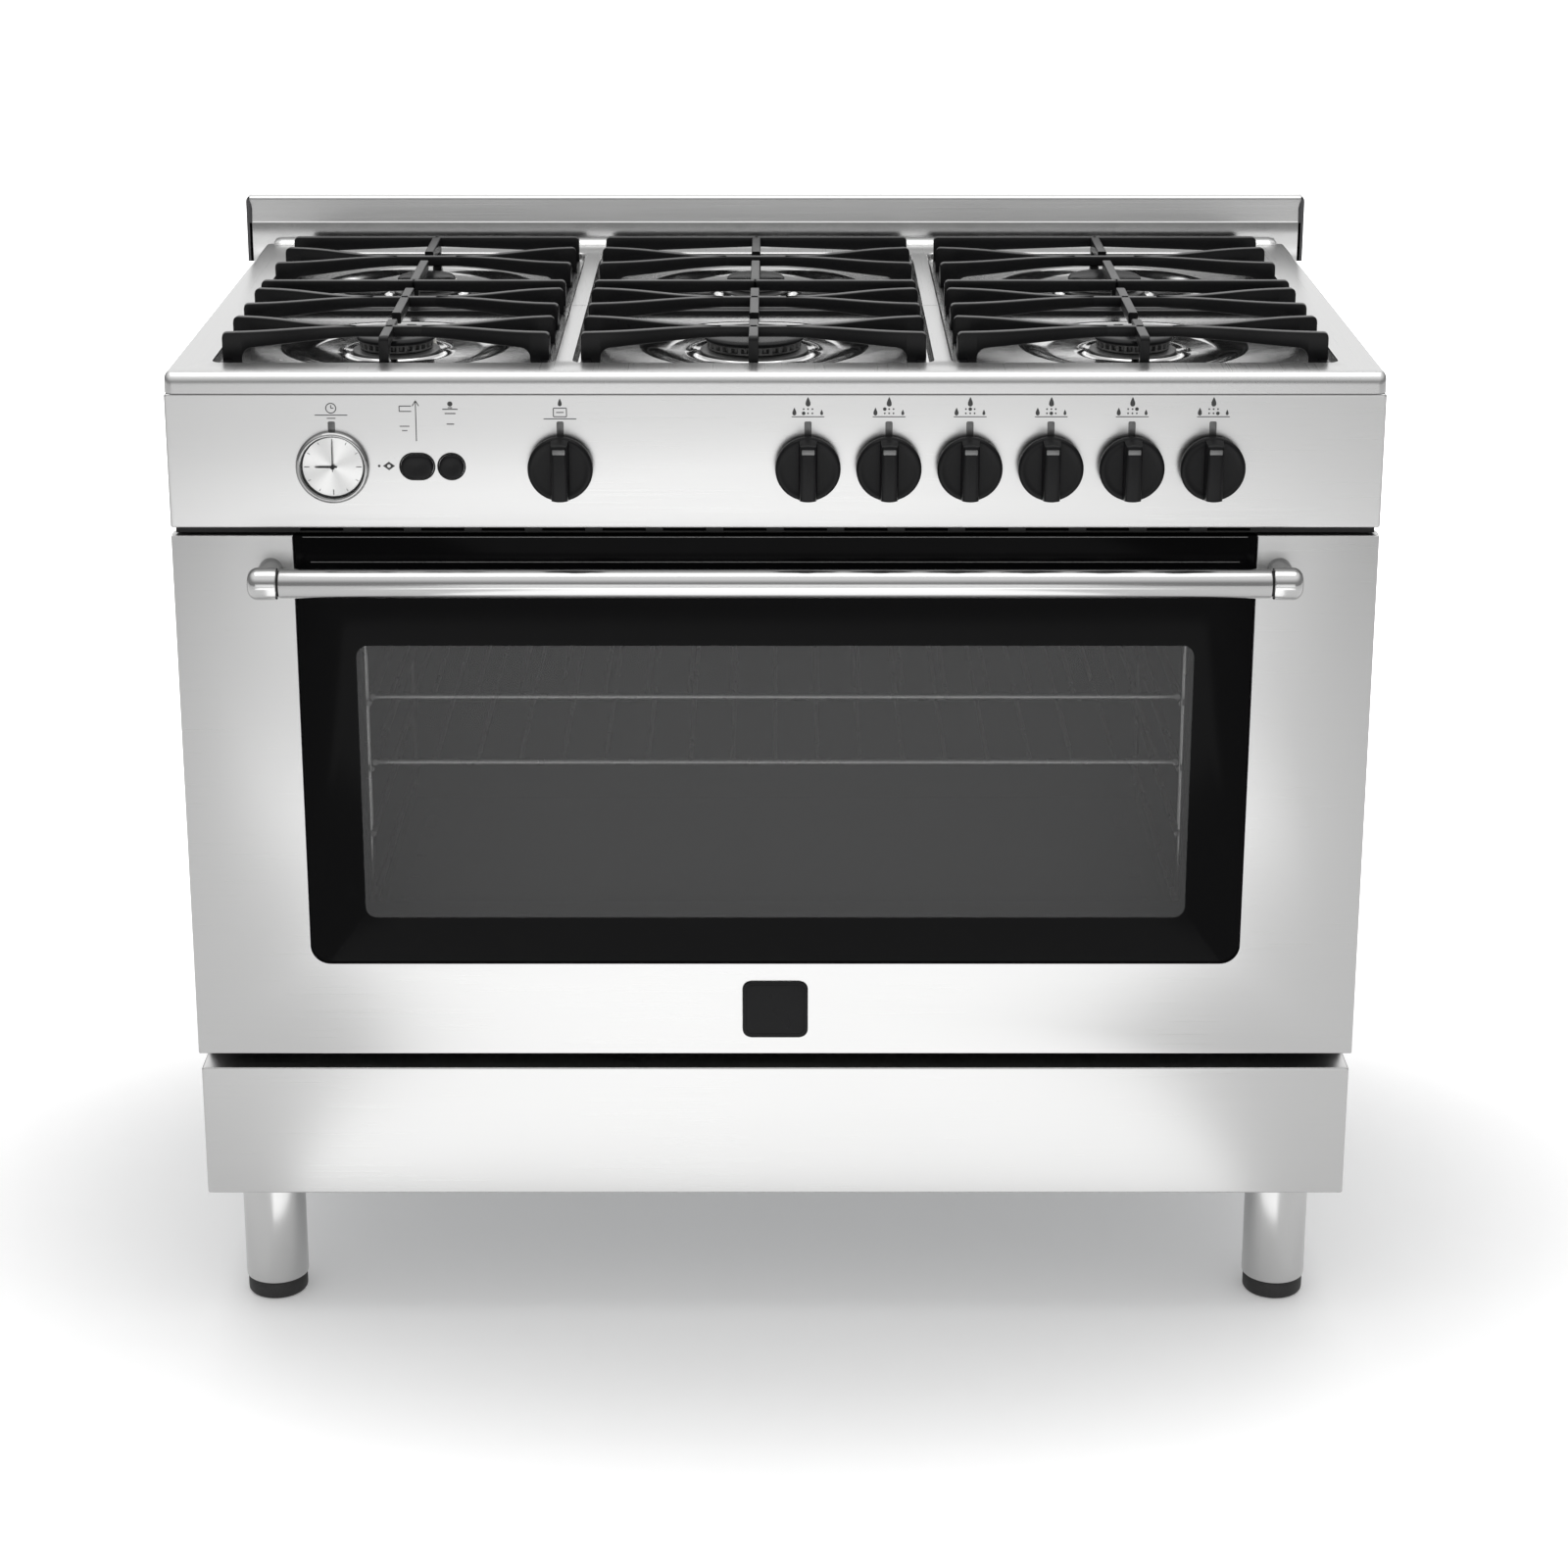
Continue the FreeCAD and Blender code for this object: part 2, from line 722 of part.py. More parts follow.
def knob_and_stem(label, x):
    """A black bar knob pushed on the stem of its valve or thermostat."""
    up = dim("control_up")
    radius, long = dim("knob_radius"), dim("knob_long")
    skirt_high = dim("knob_skirt")
    socket = dim("stem_radius") + 0.3
    back = face - dim("knob_gap")
    front = back - long
    points = [
        (socket, 0),
        (radius - 1, 0),
        (radius, 1.5),
        (radius - 0.5, skirt_high - 1.5),
        (radius - 2, skirt_high),
        (socket, skirt_high),
    ]
    skirt = turned("Skirt", points, x=x, y=back, z=up, axis="-y")
    wide = dim("grip_width") / 2
    reach = radius - 1.5
    grip = block((x - wide, x + wide), (front, back - skirt_high), (up - reach, up + reach))
    eased = rounded(grip, sized(3), lambda edge: edge.BoundBox.YMax < back.value - skirt_high.value - 0.5)
    bore = rod("y", socket, back - 20, 21, x=x, z=up)
    subpart(cut(fused(skirt, eased), bore), label)
    stem_front = back - 14
    stem = rod("y", dim("stem_radius"), stem_front, face + 20 - stem_front, x=x, z=up)
    subpart(stem, label.replace("_knob", "_stem"))


def clock():
    """The analogue clock: a turned bezel, a dial plate and two hands."""
    up, x = dim("control_up"), dim("clock_at")
    radius = dim("clock_radius")
    bezel = [
        (radius - 5, 1),
        (radius - 3.2, 1),
        (radius - 3.2, 0),
        (radius, 0),
        (radius, 5),
        (radius - 2, 8),
        (radius - 5, 8),
    ]
    ring = turned("Bezel", bezel, x=x, y=face, z=up, axis="-y")
    plate = rod("y", radius - 5.2, face - 1.6, 4, x=x, z=up)
    dial = cut(plate, rod("y", 1.5, face - 3, 10, x=x, z=up))
    subpart(gathered(ring, dial), "clock_case")
    hub_long = 1.2
    hour_y, minute_y = face - 3.4, face - 5
    hour = fused(
        rod("y", 2.2, hour_y, hub_long, x=x, z=up),
        block((x - 17, x), (hour_y, hour_y + 0.6), (up - 0.9, up + 0.9)),
    )
    subpart(hour, "hour_hand")
    minute = fused(
        rod("y", 2.2, minute_y, hub_long, x=x, z=up),
        block((x - 0.7, x + 0.7), (minute_y, minute_y + 0.6), (up, up + 24)),
    )
    subpart(minute, "minute_hand")


def vent_trim():
    """The dark strip under the fascia, slotted for the door's cooling air."""
    edge = half - 4
    low, high = dim("door_top") + 1.5, dim("fascia_bottom")
    strip = block((-edge, edge), (face + 6, frame_face), (low, high))
    slots = []
    for number in range(-8, 8):
        start = sized(56.0 * number + 8)
        slots.append(block((start, start + 40), (face + 2, frame_face - 6), (low + 1.5, high - 1.5)))
    subpart(cut(strip, *slots), "vent_trim")


def gas_manifold():
    """The gas rail: a pipe behind the fascia with seven valve bodies, and the feed down to the inlet."""
    up = dim("control_up")
    rail_y = frame_face - 8
    radius = 8
    end, drop_y, low = dim("inlet_at") + 60, frame_face + 14, dim("inlet_up")
    start = dim("oven_knob_at") - 30
    parts = [rod("x", radius, start, end - start, y=rail_y, z=up)]
    for place_ in KNOBS.values():
        parts.append(block((place_ - 13, place_ + 13), (face + 6, rail_y), (up - 13, up + 13)))
    elbow = 11
    parts.append(block((end - elbow, end + elbow), (rail_y - elbow, drop_y + elbow), (up - elbow, up + elbow)))
    parts.append(rod("z", radius, low, up - low, x=end, y=drop_y))
    parts.append(block((end - elbow, end + elbow), (drop_y - elbow, drop_y + elbow), (low - elbow, low + elbow)))
    parts.append(rod("y", radius, drop_y, guard_face - 14 - drop_y, x=end, z=low))
    parts.append(block((dim("inlet_at") - 14, end + elbow), (guard_face - 24, guard_face - 4),
                       (low - 14, low + 14)))
    parts.append(rod("y", dim("inlet_radius"), guard_face - 6, 24, x=dim("inlet_at"), z=low))
    sockets = []
    for place_ in KNOBS.values():
        sockets.append(rod("y", dim("stem_radius") + 0.3, face, 22, x=place_, z=up))
    subpart(cut(fused(*parts), *sockets), "gas_manifold")


def power_inlet():
    """The screwed gland that the mains lead would leave through."""
    up, x = dim("inlet_up"), dim("power_at")
    collar = rod("y", 11, guard_face, 6, x=x, z=up)
    nose = rod("y", 9, guard_face + 6, 8, x=x, z=up)
    neck = rod("y", 7.6, guard_face - 10, 10, x=x, z=up)
    bore = rod("y", 4.5, guard_face - 11, 30, x=x, z=up)
    subpart(cut(fused(neck, collar, nose), bore), "power_inlet")


# ---------------------------------------------------------------- door


def door_frame():
    """The steel front of the door: two stiles and a bottom rail round a glass that runs up to the top edge."""
    low, high = dim("door_bottom"), dim("door_top")
    plate = block((-half, half), (face, face + dim("door_skin")), (low, high))
    opening = (-dim("glass_half"), dim("glass_half"))
    hole = block(opening, (face - 1, face + 30), (dim("glass_bottom"), high + 30))

    def lower_corner(edge):
        return runs(edge, "y") and edge.BoundBox.ZMax < high.value

    wall = dim("sheet") * 2
    back = face + 40
    hollows = [
        block((wall - half, -dim("glass_half") - wall), (face + skin, back), (low + wall, high - wall)),
        block((dim("glass_half") + wall, half - wall), (face + skin, back), (low + wall, high - wall)),
        block((wall - half, half - wall), (face + skin, back), (low + wall, dim("glass_bottom") - wall)),
    ]
    subpart(cut(plate, rounded(hole, dim("glass_corner"), lower_corner), *hollows), "door_frame")


def door_outer_glass():
    """The black outer glass, which fills the frame's opening."""
    edge = dim("glass_half") - 0.5
    low, high = dim("glass_bottom") + 0.5, dim("door_top") - 0.5
    pane = block((-edge, edge), (glass_face, glass_face + dim("glass_thick")), (low, high))

    def lower_corner(edge_):
        return runs(edge_, "y") and edge_.BoundBox.ZMax < high.value - 1

    subpart(rounded(pane, dim("glass_corner") - 0.5, lower_corner), "door_outer_glass")


def door_liner():
    """The inner tray of the door, with the opening that the inner glass covers."""
    edge = half - 12
    low, high = dim("door_bottom") + 6, dim("door_top") - 4
    front, rear = face + dim("door_skin"), door_rear
    tray = block((-edge, edge), (front, rear), (low, high))
    hollow = block((skin - edge, edge - skin), (front - 1, rear - skin), (low + skin, high - skin))
    window = block((-dim("window_half"), dim("window_half")), (front, rear + 1),
                   (dim("window_bottom"), dim("window_top")))
    relief = block((-half, half), (rear - 14, rear + 1), (low - 1, low + 12))
    subpart(cut(tray, hollow, window, relief), "door_liner")


def door_inner_glass():
    """The clear heat-resisting pane inside the door."""
    edge = dim("window_half") + 12
    rear = door_rear - skin - 0.2
    depth = (rear - dim("glass_thick"), rear)
    height = (dim("window_bottom") - 12, dim("window_top") + 12)
    subpart(block((-edge, edge), depth, height), "door_inner_glass")


def door_handle():
    """The round bar and the elbow at each end that carries it off the door."""
    up, y = dim("handle_up"), face - dim("handle_out")
    reach = dim("bar_half")
    subpart(rod("x", dim("bar_radius"), -reach, reach * 2, y=y, z=up), "handle_bar")
    radius = dim("elbow_radius")
    ends = []
    for side in (-1, 1):
        near, far = reach * side, (reach + dim("elbow_long")) * side
        start = near if side > 0 else far
        sleeve = rod("x", radius, start, dim("elbow_long"), y=y, z=up)
        post_x = (reach + dim("elbow_long") / 2) * side
        post = rod("y", 11, y, dim("handle_out"), x=post_x, z=up)
        flange = rod("y", 16, face - 4, 4, x=post_x, z=up)
        ends.append(fused(sleeve, post, flange))
    subpart(gathered(*ends), "handle_ends")


def door_hinges():
    """The two hinge arms at the foot of the door, each on its pin."""
    y, z = face + dim("door_hinge_in"), dim("door_bottom") + dim("door_hinge_up")
    made = []
    for side in (-1, 1):
        near, far = (half - 46) * side, (half - 16) * side
        start = near if side > 0 else far
        pin = rod("x", 3.5, start, 30, y=y, z=z)
        ends = sorted((near, far), key=lambda place_: place_.value)
        across = (ends[0] + 8, ends[1] - 8)
        back = face + dim("door_skin") + 9
        knuckle = block(across, (y - 2, back), (z, z + 7))
        lever = block(across, (back - 8, back), (z, z + 150))
        made.append(fused(pin, knuckle, lever))
    subpart(gathered(*made), "hinge_arms")


# ---------------------------------------------------------------- drawer


def drawer():
    """The storage drawer: a folded steel front on an open tub."""
    low, high = dim("body_bottom"), dim("drawer_top")
    edge = half - 2
    front = block((-edge, edge), (face, door_rear), (low, high))
    hollow = block((skin - edge, edge - skin), (face + skin, door_rear + 1), (low + skin, high - skin))
    subpart(cut(front, hollow), "drawer_front")
    wide = half - 58
    rear = oven_rear + 20
    tub_low = dim("body_bottom") + 12
    tub_face = face + skin
    outside = block((-wide, wide), (tub_face, rear), (tub_low, high - 14))
    inside = block((skin - wide, wide - skin), (tub_face + skin, rear - skin), (tub_low + skin, high))
    subpart(cut(outside, inside), "drawer_box")
    rails = []
    for side in (-1, 1):
        near, far = (wide + 0.8) * side, (half - skin) * side
        across = (near, far) if side > 0 else (far, near)
        rails.append(block(across, (frame_face + 4, rear + 10), (low + 60, low + 63)))
        lip = (near, near + 3) if side > 0 else (near - 3, near)
        rails.append(block(lip, (frame_face + 4, rear + 10), (low + 63, low + 80)))
    runners = [fused(*rails[:2]), fused(*rails[2:])]
    subpart(gathered(*runners), "drawer_runners")


# ---------------------------------------------------------------- assembly

side_panel(-1, "side_panel_left")
side_panel(1, "side_panel_right")
back_panel()
base_pan()
legs()
for foot_side, side_word in ((-1, "left"), (1, "right")):
    for foot_inset, row_word in (("leg_front_in", "front"), ("leg_rear_in", "rear")):
        foot(foot_side, foot_inset, "foot_%s_%s" % (side_word, row_word))
oven_liner()
oven_insulation()
door_gasket()
rack_guides()
oven_rack(dim("rack_upper_up"), "oven_rack_upper")
oven_rack(dim("rack_lower_up"), "oven_rack_lower")
oven_floor()
oven_burner()
cooktop()
backguard()
burners()
for column_word in columns:
    for row_word in rows:
        grate(column_word, row_word)
control_panel()
buttons()
for knob_label, knob_x in KNOBS.items():
    knob_and_stem(knob_label, knob_x)
clock()
vent_trim()
gas_manifold()
power_inlet()
door_frame()
door_outer_glass()
door_liner()
door_inner_glass()
door_handle()
door_hinges()
drawer()

doc.recompute()
for made_object in doc.Objects:
    if {"Invalid", "Error"} & set(made_object.State):
        raise RuntimeError("%s (%s) failed: %s" % (made_object.Name, made_object.Label, made_object.State))
for made_part in SUBPARTS:
    shape = made_part.Shape
    if shape.isNull() or not shape.isValid() or not shape.Solids:
        raise RuntimeError("%s has no valid solid" % made_part.Label)

os.makedirs("parts", exist_ok=True)
for made_part in SUBPARTS:
    made_part.Shape.exportStep("parts/%s.step" % made_part.Label)
    solids = made_part.Shape.Solids
    print("%-20s %2d solids %12.0f mm3" % (made_part.Label, len(solids), made_part.Shape.Volume))
print("%d sub-parts" % len(SUBPARTS))
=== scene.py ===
"""Looks for the freestanding gas range: detailed pieces, finishes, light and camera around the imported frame."""
import math

import bmesh
import bpy
from bpy.props import FloatProperty, FloatVectorProperty, IntProperty, PointerProperty
from mathutils import Matrix, Vector


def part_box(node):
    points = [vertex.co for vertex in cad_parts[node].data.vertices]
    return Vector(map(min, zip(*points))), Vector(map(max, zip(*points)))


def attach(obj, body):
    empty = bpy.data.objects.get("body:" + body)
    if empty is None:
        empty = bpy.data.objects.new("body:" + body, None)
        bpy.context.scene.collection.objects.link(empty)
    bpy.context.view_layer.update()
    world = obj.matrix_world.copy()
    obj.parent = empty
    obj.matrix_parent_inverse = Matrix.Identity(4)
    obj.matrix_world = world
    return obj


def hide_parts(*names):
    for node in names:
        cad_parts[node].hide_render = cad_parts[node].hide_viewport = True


bl_info = {
    "name": "Gas range looks",
    "version": (1, 0, 0),
    "blender": (4, 5, 0),
    "location": "View3D > Sidebar > Gas range",
    "description": "Builds the visible pieces and finishes of a freestanding gas range around its frame",
    "category": "Object",
}

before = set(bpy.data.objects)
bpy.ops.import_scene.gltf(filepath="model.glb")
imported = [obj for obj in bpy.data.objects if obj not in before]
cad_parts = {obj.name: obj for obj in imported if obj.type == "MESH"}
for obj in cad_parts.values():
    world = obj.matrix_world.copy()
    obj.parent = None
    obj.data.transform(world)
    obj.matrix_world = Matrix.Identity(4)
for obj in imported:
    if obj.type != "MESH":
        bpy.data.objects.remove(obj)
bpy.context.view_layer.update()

COLUMNS = ("left", "centre", "right")
ROWS = ("front", "rear")
BURNER_KNOBS = tuple("burner_knob_%d" % number for number in range(1, 7))


def mm(value):
    """Millimetres as metres."""
    return value * 0.001


def middle(node):
    """The centre of a frame node's box."""
    low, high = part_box(node)
    return (low + high) / 2


# ------------------------------------------------------------ settings


class RangeSizes(bpy.types.PropertyGroup):
    """Sizes of the visible detail that the frame leaves plain."""

    panel_edge: FloatProperty(
        name="Panel edge", description="Radius of the folded edges of the front panels", default=mm(1.6),
        min=mm(0.4), max=mm(4), subtype="DISTANCE", unit="LENGTH")
    top_roll: FloatProperty(
        name="Top roll", description="Radius of the rolled front edge of the cooktop", default=mm(11),
        min=mm(4), max=mm(16), subtype="DISTANCE", unit="LENGTH")
    well_depth: FloatProperty(
        name="Well depth", description="Depth of the three pressed wells below the top sheet", default=mm(8),
        unit="LENGTH")
    dish_radius: FloatProperty(
        name="Dish radius", description="Outer radius of the pressed dish round each burner", default=mm(110),
        min=mm(80), max=mm(112), subtype="DISTANCE", unit="LENGTH")
    bar_width: FloatProperty(
        name="Support bar width", description="Width of the cast bars of the pan supports", default=mm(9),
        min=mm(6), max=mm(12), subtype="DISTANCE", unit="LENGTH")
    grip_width: FloatProperty(
        name="Grip width", description="Width of the raised bar across a knob", default=mm(16),
        min=mm(10), max=mm(22), subtype="DISTANCE", unit="LENGTH")
    guard_fold: FloatProperty(
        name="Guard fold height", description="Height of the upper band of the backguard", default=mm(28),
        min=mm(10), max=mm(60), subtype="DISTANCE", unit="LENGTH")
    flame_slots: IntProperty(
        name="Flame slots", description="Number of flame slots round a burner head", default=28, min=12, max=48)


class RangeFinishes(bpy.types.PropertyGroup):
    """Colours and surface qualities."""

    steel: FloatVectorProperty(
        name="Steel", description="Colour of the brushed stainless steel", subtype="COLOR", size=3,
        default=(0.55, 0.55, 0.548), min=0, max=1)
    iron: FloatVectorProperty(
        name="Cast iron", description="Colour of the enamelled pan supports", subtype="COLOR", size=3,
        default=(0.007, 0.007, 0.0075), min=0, max=1)
    plastic: FloatVectorProperty(
        name="Black plastic", description="Colour of the knobs and buttons", subtype="COLOR", size=3,
        default=(0.006, 0.006, 0.0065), min=0, max=1)
    window: FloatVectorProperty(
        name="Window tint", description="Colour of the tinted window in the door", subtype="COLOR", size=3,
        default=(0.018, 0.018, 0.0185), min=0, max=1)
    ink: FloatVectorProperty(
        name="Ink", description="Colour of the printed marks", subtype="COLOR", size=3,
        default=(0.02, 0.02, 0.02), min=0, max=1)
    grain_depth: FloatProperty(
        name="Grain depth", description="Strength of the brushed grain", default=0.05, min=0, max=1)
    steel_roughness: FloatProperty(
        name="Steel roughness", description="Roughness of the brushed steel", default=0.30, min=0.05, max=0.8)


class RangeStudio(bpy.types.PropertyGroup):
    """The light and the camera."""

    surround: FloatProperty(
        name="Surround", description="Strength of the even surroundings that polished faces mirror", default=0.30,
        min=0, max=3)
    ceiling: FloatProperty(
        name="Ceiling", description="Strength of the pale ceiling that polished faces mirror", default=1.1, min=0,
        max=3)
    fill: FloatProperty(
        name="Fill", description="Strength of the even light that falls on matt faces", default=0.62, min=0, max=3)
    overhead: FloatProperty(
        name="Overhead", description="Power of the large soft light over the cooktop", default=30, min=0,
        max=500, unit="POWER")
    near_lane: FloatProperty(
        name="Near lane", description="Power of the soft light that lies on the floor just before the range",
        default=3.9, min=0, max=500, unit="POWER")
    far_lane: FloatProperty(
        name="Far lane", description="Power of the soft light that lies on the floor farther out", default=11.0,
        min=0, max=500, unit="POWER")
    front: FloatProperty(
        name="Front", description="Power of the tall soft light far in front of the range", default=18, min=0,
        max=500, unit="POWER")
    back: FloatProperty(
        name="Back", description="Power of the tall soft light behind the range", default=36, min=0,
        max=500, unit="POWER")
    far_floor: FloatProperty(
        name="Far floor", description="Power of the soft light on the floor far behind the range", default=60,
        min=0, max=500, unit="POWER")
    lens: FloatProperty(
        name="Lens", description="Focal length of the camera", default=75.7, min=20, max=200, unit="CAMERA")
    distance: FloatProperty(
        name="Camera distance", description="Distance of the camera in front of the middle of the floor plan",
        default=3.236, min=1, max=10, subtype="DISTANCE", unit="LENGTH")
    height: FloatProperty(
        name="Camera height", description="Height of the camera above the floor", default=1.626, min=0.1,
        max=5, subtype="DISTANCE", unit="LENGTH")
    tilt: FloatProperty(
        name="Camera tilt", description="Angle of the camera below level", default=math.radians(16.4),
        min=0, max=math.radians(80), subtype="ANGLE", unit="ROTATION")
    shift_x: FloatProperty(
        name="Camera shift across", description="Sideways lens shift of the camera", default=0.0056, min=-1, max=1)
    shift_y: FloatProperty(
        name="Camera shift up", description="Upward lens shift of the camera", default=-0.13, min=-1, max=1)


def sizes():
    return bpy.context.scene.range_sizes


def finishes():
    return bpy.context.scene.range_finishes


def studio():
    return bpy.context.scene.range_studio


# ------------------------------------------------------------ shared effects


def node_group(name, inputs):
    """An empty shared effect with its named sockets, and the node that brings its inputs."""
    group = bpy.data.node_groups.new(name, "ShaderNodeTree")
    for label, kind, default in inputs:
        socket = group.interface.new_socket(label, in_out="INPUT", socket_type=kind)
        if default is not None:
            socket.default_value = default
    for label, kind in (("Colour", "NodeSocketColor"), ("Roughness", "NodeSocketFloat"),
                        ("Height", "NodeSocketFloat")):
        group.interface.new_socket(label, in_out="OUTPUT", socket_type=kind)
    return group, group.nodes.new("NodeGroupInput")


def gives(group, colour, roughness, height):
    """The shared effect, with its three results joined to its outputs."""
    end = group.nodes.new("NodeGroupOutput")
    for label, result in (("Colour", colour), ("Roughness", roughness), ("Height", height)):
        group.links.new(result, end.inputs[label])
    return group


def preset(node, values):
    """The node, with values set on its named sockets."""
    for label, value in values.items():
        node.inputs[label].default_value = value
    return node


def maths(group, operation, first, second, third=None):
    """A Math node between sockets or numbers."""
    node = group.nodes.new("ShaderNodeMath")
    node.operation = operation
    for slot_number, value in enumerate((first, second, third)):
        if value is None:
            continue
        if isinstance(value, (int, float)):
            node.inputs[slot_number].default_value = value
        else:
            group.links.new(value, node.inputs[slot_number])
    return node.outputs[0]


def noise(group, vector, scale, detail=3.0, roughness=0.55):
    """A Noise node's factor."""
    node = preset(group.nodes.new("ShaderNodeTexNoise"), {"Detail": detail, "Roughness": roughness})
    group.links.new(vector, node.inputs["Vector"])
    if isinstance(scale, (int, float)):
        node.inputs["Scale"].default_value = scale
    else:
        group.links.new(scale, node.inputs["Scale"])
    return node.outputs["Fac"]


def stretched(group, vector, scale):
    """The vector multiplied by a scale, which is a socket or three numbers."""
    node = group.nodes.new("ShaderNodeVectorMath")
    node.operation = "MULTIPLY"
    group.links.new(vector, node.inputs[0])
    if hasattr(scale, "links"):
        group.links.new(scale, node.inputs[1])
    else:
        node.inputs[1].default_value = scale
    return node.outputs[0]


def blended(group, factor, first, second):
    """A colour between two colours."""
    node = group.nodes.new("ShaderNodeMix")
    node.data_type = "RGBA"
    group.links.new(factor, node.inputs["Factor"])
    for socket, value in ((node.inputs[6], first), (node.inputs[7], second)):
        if hasattr(value, "links"):
            group.links.new(value, socket)
        else:
            socket.default_value = value
    return node.outputs[2]


def shaded(group, colour, value):
    """The colour made lighter or darker by a factor."""
    node = group.nodes.new("ShaderNodeHueSaturation")
    group.links.new(colour, node.inputs["Color"])
    group.links.new(value, node.inputs["Value"])
    return node.outputs[0]


def swung(group, factor, reach):
    """A factor moved to swing about zero, and multiplied by its reach."""
    return maths(group, "MULTIPLY", maths(group, "SUBTRACT", factor, 0.5), reach)


def brushed_grain():
    """Long fine scratches along one direction, with faint wiping marks over them."""
    group, start = node_group(
        "Brushed grain",
        [("Vector", "NodeSocketVector", None), ("Stretch", "NodeSocketVector", (4, 900, 900)),
         ("Colour", "NodeSocketColor", (0.7, 0.7, 0.7, 1)), ("Roughness", "NodeSocketFloat", 0.3),
         ("Wiping", "NodeSocketFloat", 0.05), ("Contrast", "NodeSocketFloat", 0.06)])
    lines = noise(group, stretched(group, start.outputs["Vector"], start.outputs["Stretch"]), 1.0, 4, 0.7)
    patches = noise(group, start.outputs["Vector"], 3.0, 2, 0.5)
    rough = maths(group, "ADD", start.outputs["Roughness"], swung(group, patches, start.outputs["Wiping"]))
    rough = maths(group, "ADD", rough, swung(group, lines, 0.16))
    value = maths(group, "ADD", swung(group, lines, start.outputs["Contrast"]), 1.0)
    return gives(group, shaded(group, start.outputs["Colour"], value), rough, lines)


def turned_grain_and_painted_sheen():
    """Fine rays from a centre, as on a spun dial, with a painted sheen of four broad lighter and darker sectors."""
    group, start = node_group(
        "Turned grain and painted sheen",
        [("Vector", "NodeSocketVector", None), ("Centre", "NodeSocketVector", (0, 0, 0)),
         ("Colour", "NodeSocketColor", (0.7, 0.7, 0.7, 1)), ("Roughness", "NodeSocketFloat", 0.3)])
    away = group.nodes.new("ShaderNodeVectorMath")
    away.operation = "SUBTRACT"
    group.links.new(start.outputs["Vector"], away.inputs[0])
    group.links.new(start.outputs["Centre"], away.inputs[1])
    parts = group.nodes.new("ShaderNodeSeparateXYZ")
    group.links.new(away.outputs[0], parts.inputs[0])
    angle = maths(group, "ARCTAN2", parts.outputs["X"], parts.outputs["Z"])
    ray = group.nodes.new("ShaderNodeCombineXYZ")
    group.links.new(angle, ray.inputs["X"])
    fine = noise(group, ray.outputs[0], 60.0, 2, 0.5)
    # Painted sheen: the colour swings lighter and darker in four broad sectors round the centre.
    broad = maths(group, "SINE", maths(group, "MULTIPLY", angle, 4.0), 0.0)
    broad = maths(group, "MULTIPLY_ADD", broad, 0.12, 0.95)
    value = maths(group, "ADD", broad, swung(group, fine, 0.25))
    rough = maths(group, "MULTIPLY_ADD", fine, 0.15, start.outputs["Roughness"])
    return gives(group, shaded(group, start.outputs["Colour"], value), rough, fine)


def mottle():
    """Soft unevenness of a painted, cast or moulded surface, with pale dust where the noise peaks."""
    group, start = node_group(
        "Mottle",
        [("Vector", "NodeSocketVector", None), ("Fineness", "NodeSocketFloat", 400.0),
         ("Colour", "NodeSocketColor", (0.1, 0.1, 0.1, 1)), ("Dust colour", "NodeSocketColor", (0.4, 0.4, 0.4, 1)),
         ("Dust", "NodeSocketFloat", 0.02), ("Roughness", "NodeSocketFloat", 0.4),
         ("Unevenness", "NodeSocketFloat", 0.1)])
    fine = noise(group, start.outputs["Vector"], start.outputs["Fineness"], 3, 0.6)
    broad = noise(group, start.outputs["Vector"], 14.0, 3, 0.55)
    peaks = maths(group, "MULTIPLY", maths(group, "SUBTRACT", fine, 0.5), broad)
    speck = group.nodes.new("ShaderNodeClamp")
    group.links.new(maths(group, "MULTIPLY", peaks, 8.0), speck.inputs[0])
    dusted = maths(group, "MULTIPLY", speck.outputs[0], start.outputs["Dust"])
    colour = blended(group, dusted, start.outputs["Colour"], start.outputs["Dust colour"])
    rough = maths(group, "ADD", start.outputs["Roughness"], swung(group, broad, start.outputs["Unevenness"]))
    return gives(group, colour, rough, fine)


def weave():
    """Crossed strands of a woven or felted fibre."""
    group, start = node_group(
        "Weave",
        [("Vector", "NodeSocketVector", None), ("Fineness", "NodeSocketFloat", 700.0),
         ("Colour", "NodeSocketColor", (0.1, 0.1, 0.1, 1)),
         ("Shade colour", "NodeSocketColor", (0.03, 0.03, 0.03, 1))])
    waves = []
    for direction in ("X", "Z"):
        wave = group.nodes.new("ShaderNodeTexWave")
        wave.bands_direction = direction
        wave.inputs["Distortion"].default_value = 1.5
        group.links.new(start.outputs["Vector"], wave.inputs["Vector"])
        group.links.new(start.outputs["Fineness"], wave.inputs["Scale"])
        waves.append(wave.outputs["Fac"])
    strands = maths(group, "MAXIMUM", waves[0], waves[1])
    fluff = noise(group, start.outputs["Vector"], 90.0, 4, 0.7)
    height = maths(group, "MULTIPLY", strands, fluff)
    colour = blended(group, height, start.outputs["Shade colour"], start.outputs["Colour"])
    return gives(group, colour, maths(group, "MULTIPLY_ADD", fluff, 0.2, 0.75), height)


EFFECTS = {}


def effect(build):
    """A shared node group, built once."""
    if build.__name__ not in EFFECTS:
        EFFECTS[build.__name__] = build()
    return EFFECTS[build.__name__]


MATERIALS = {}


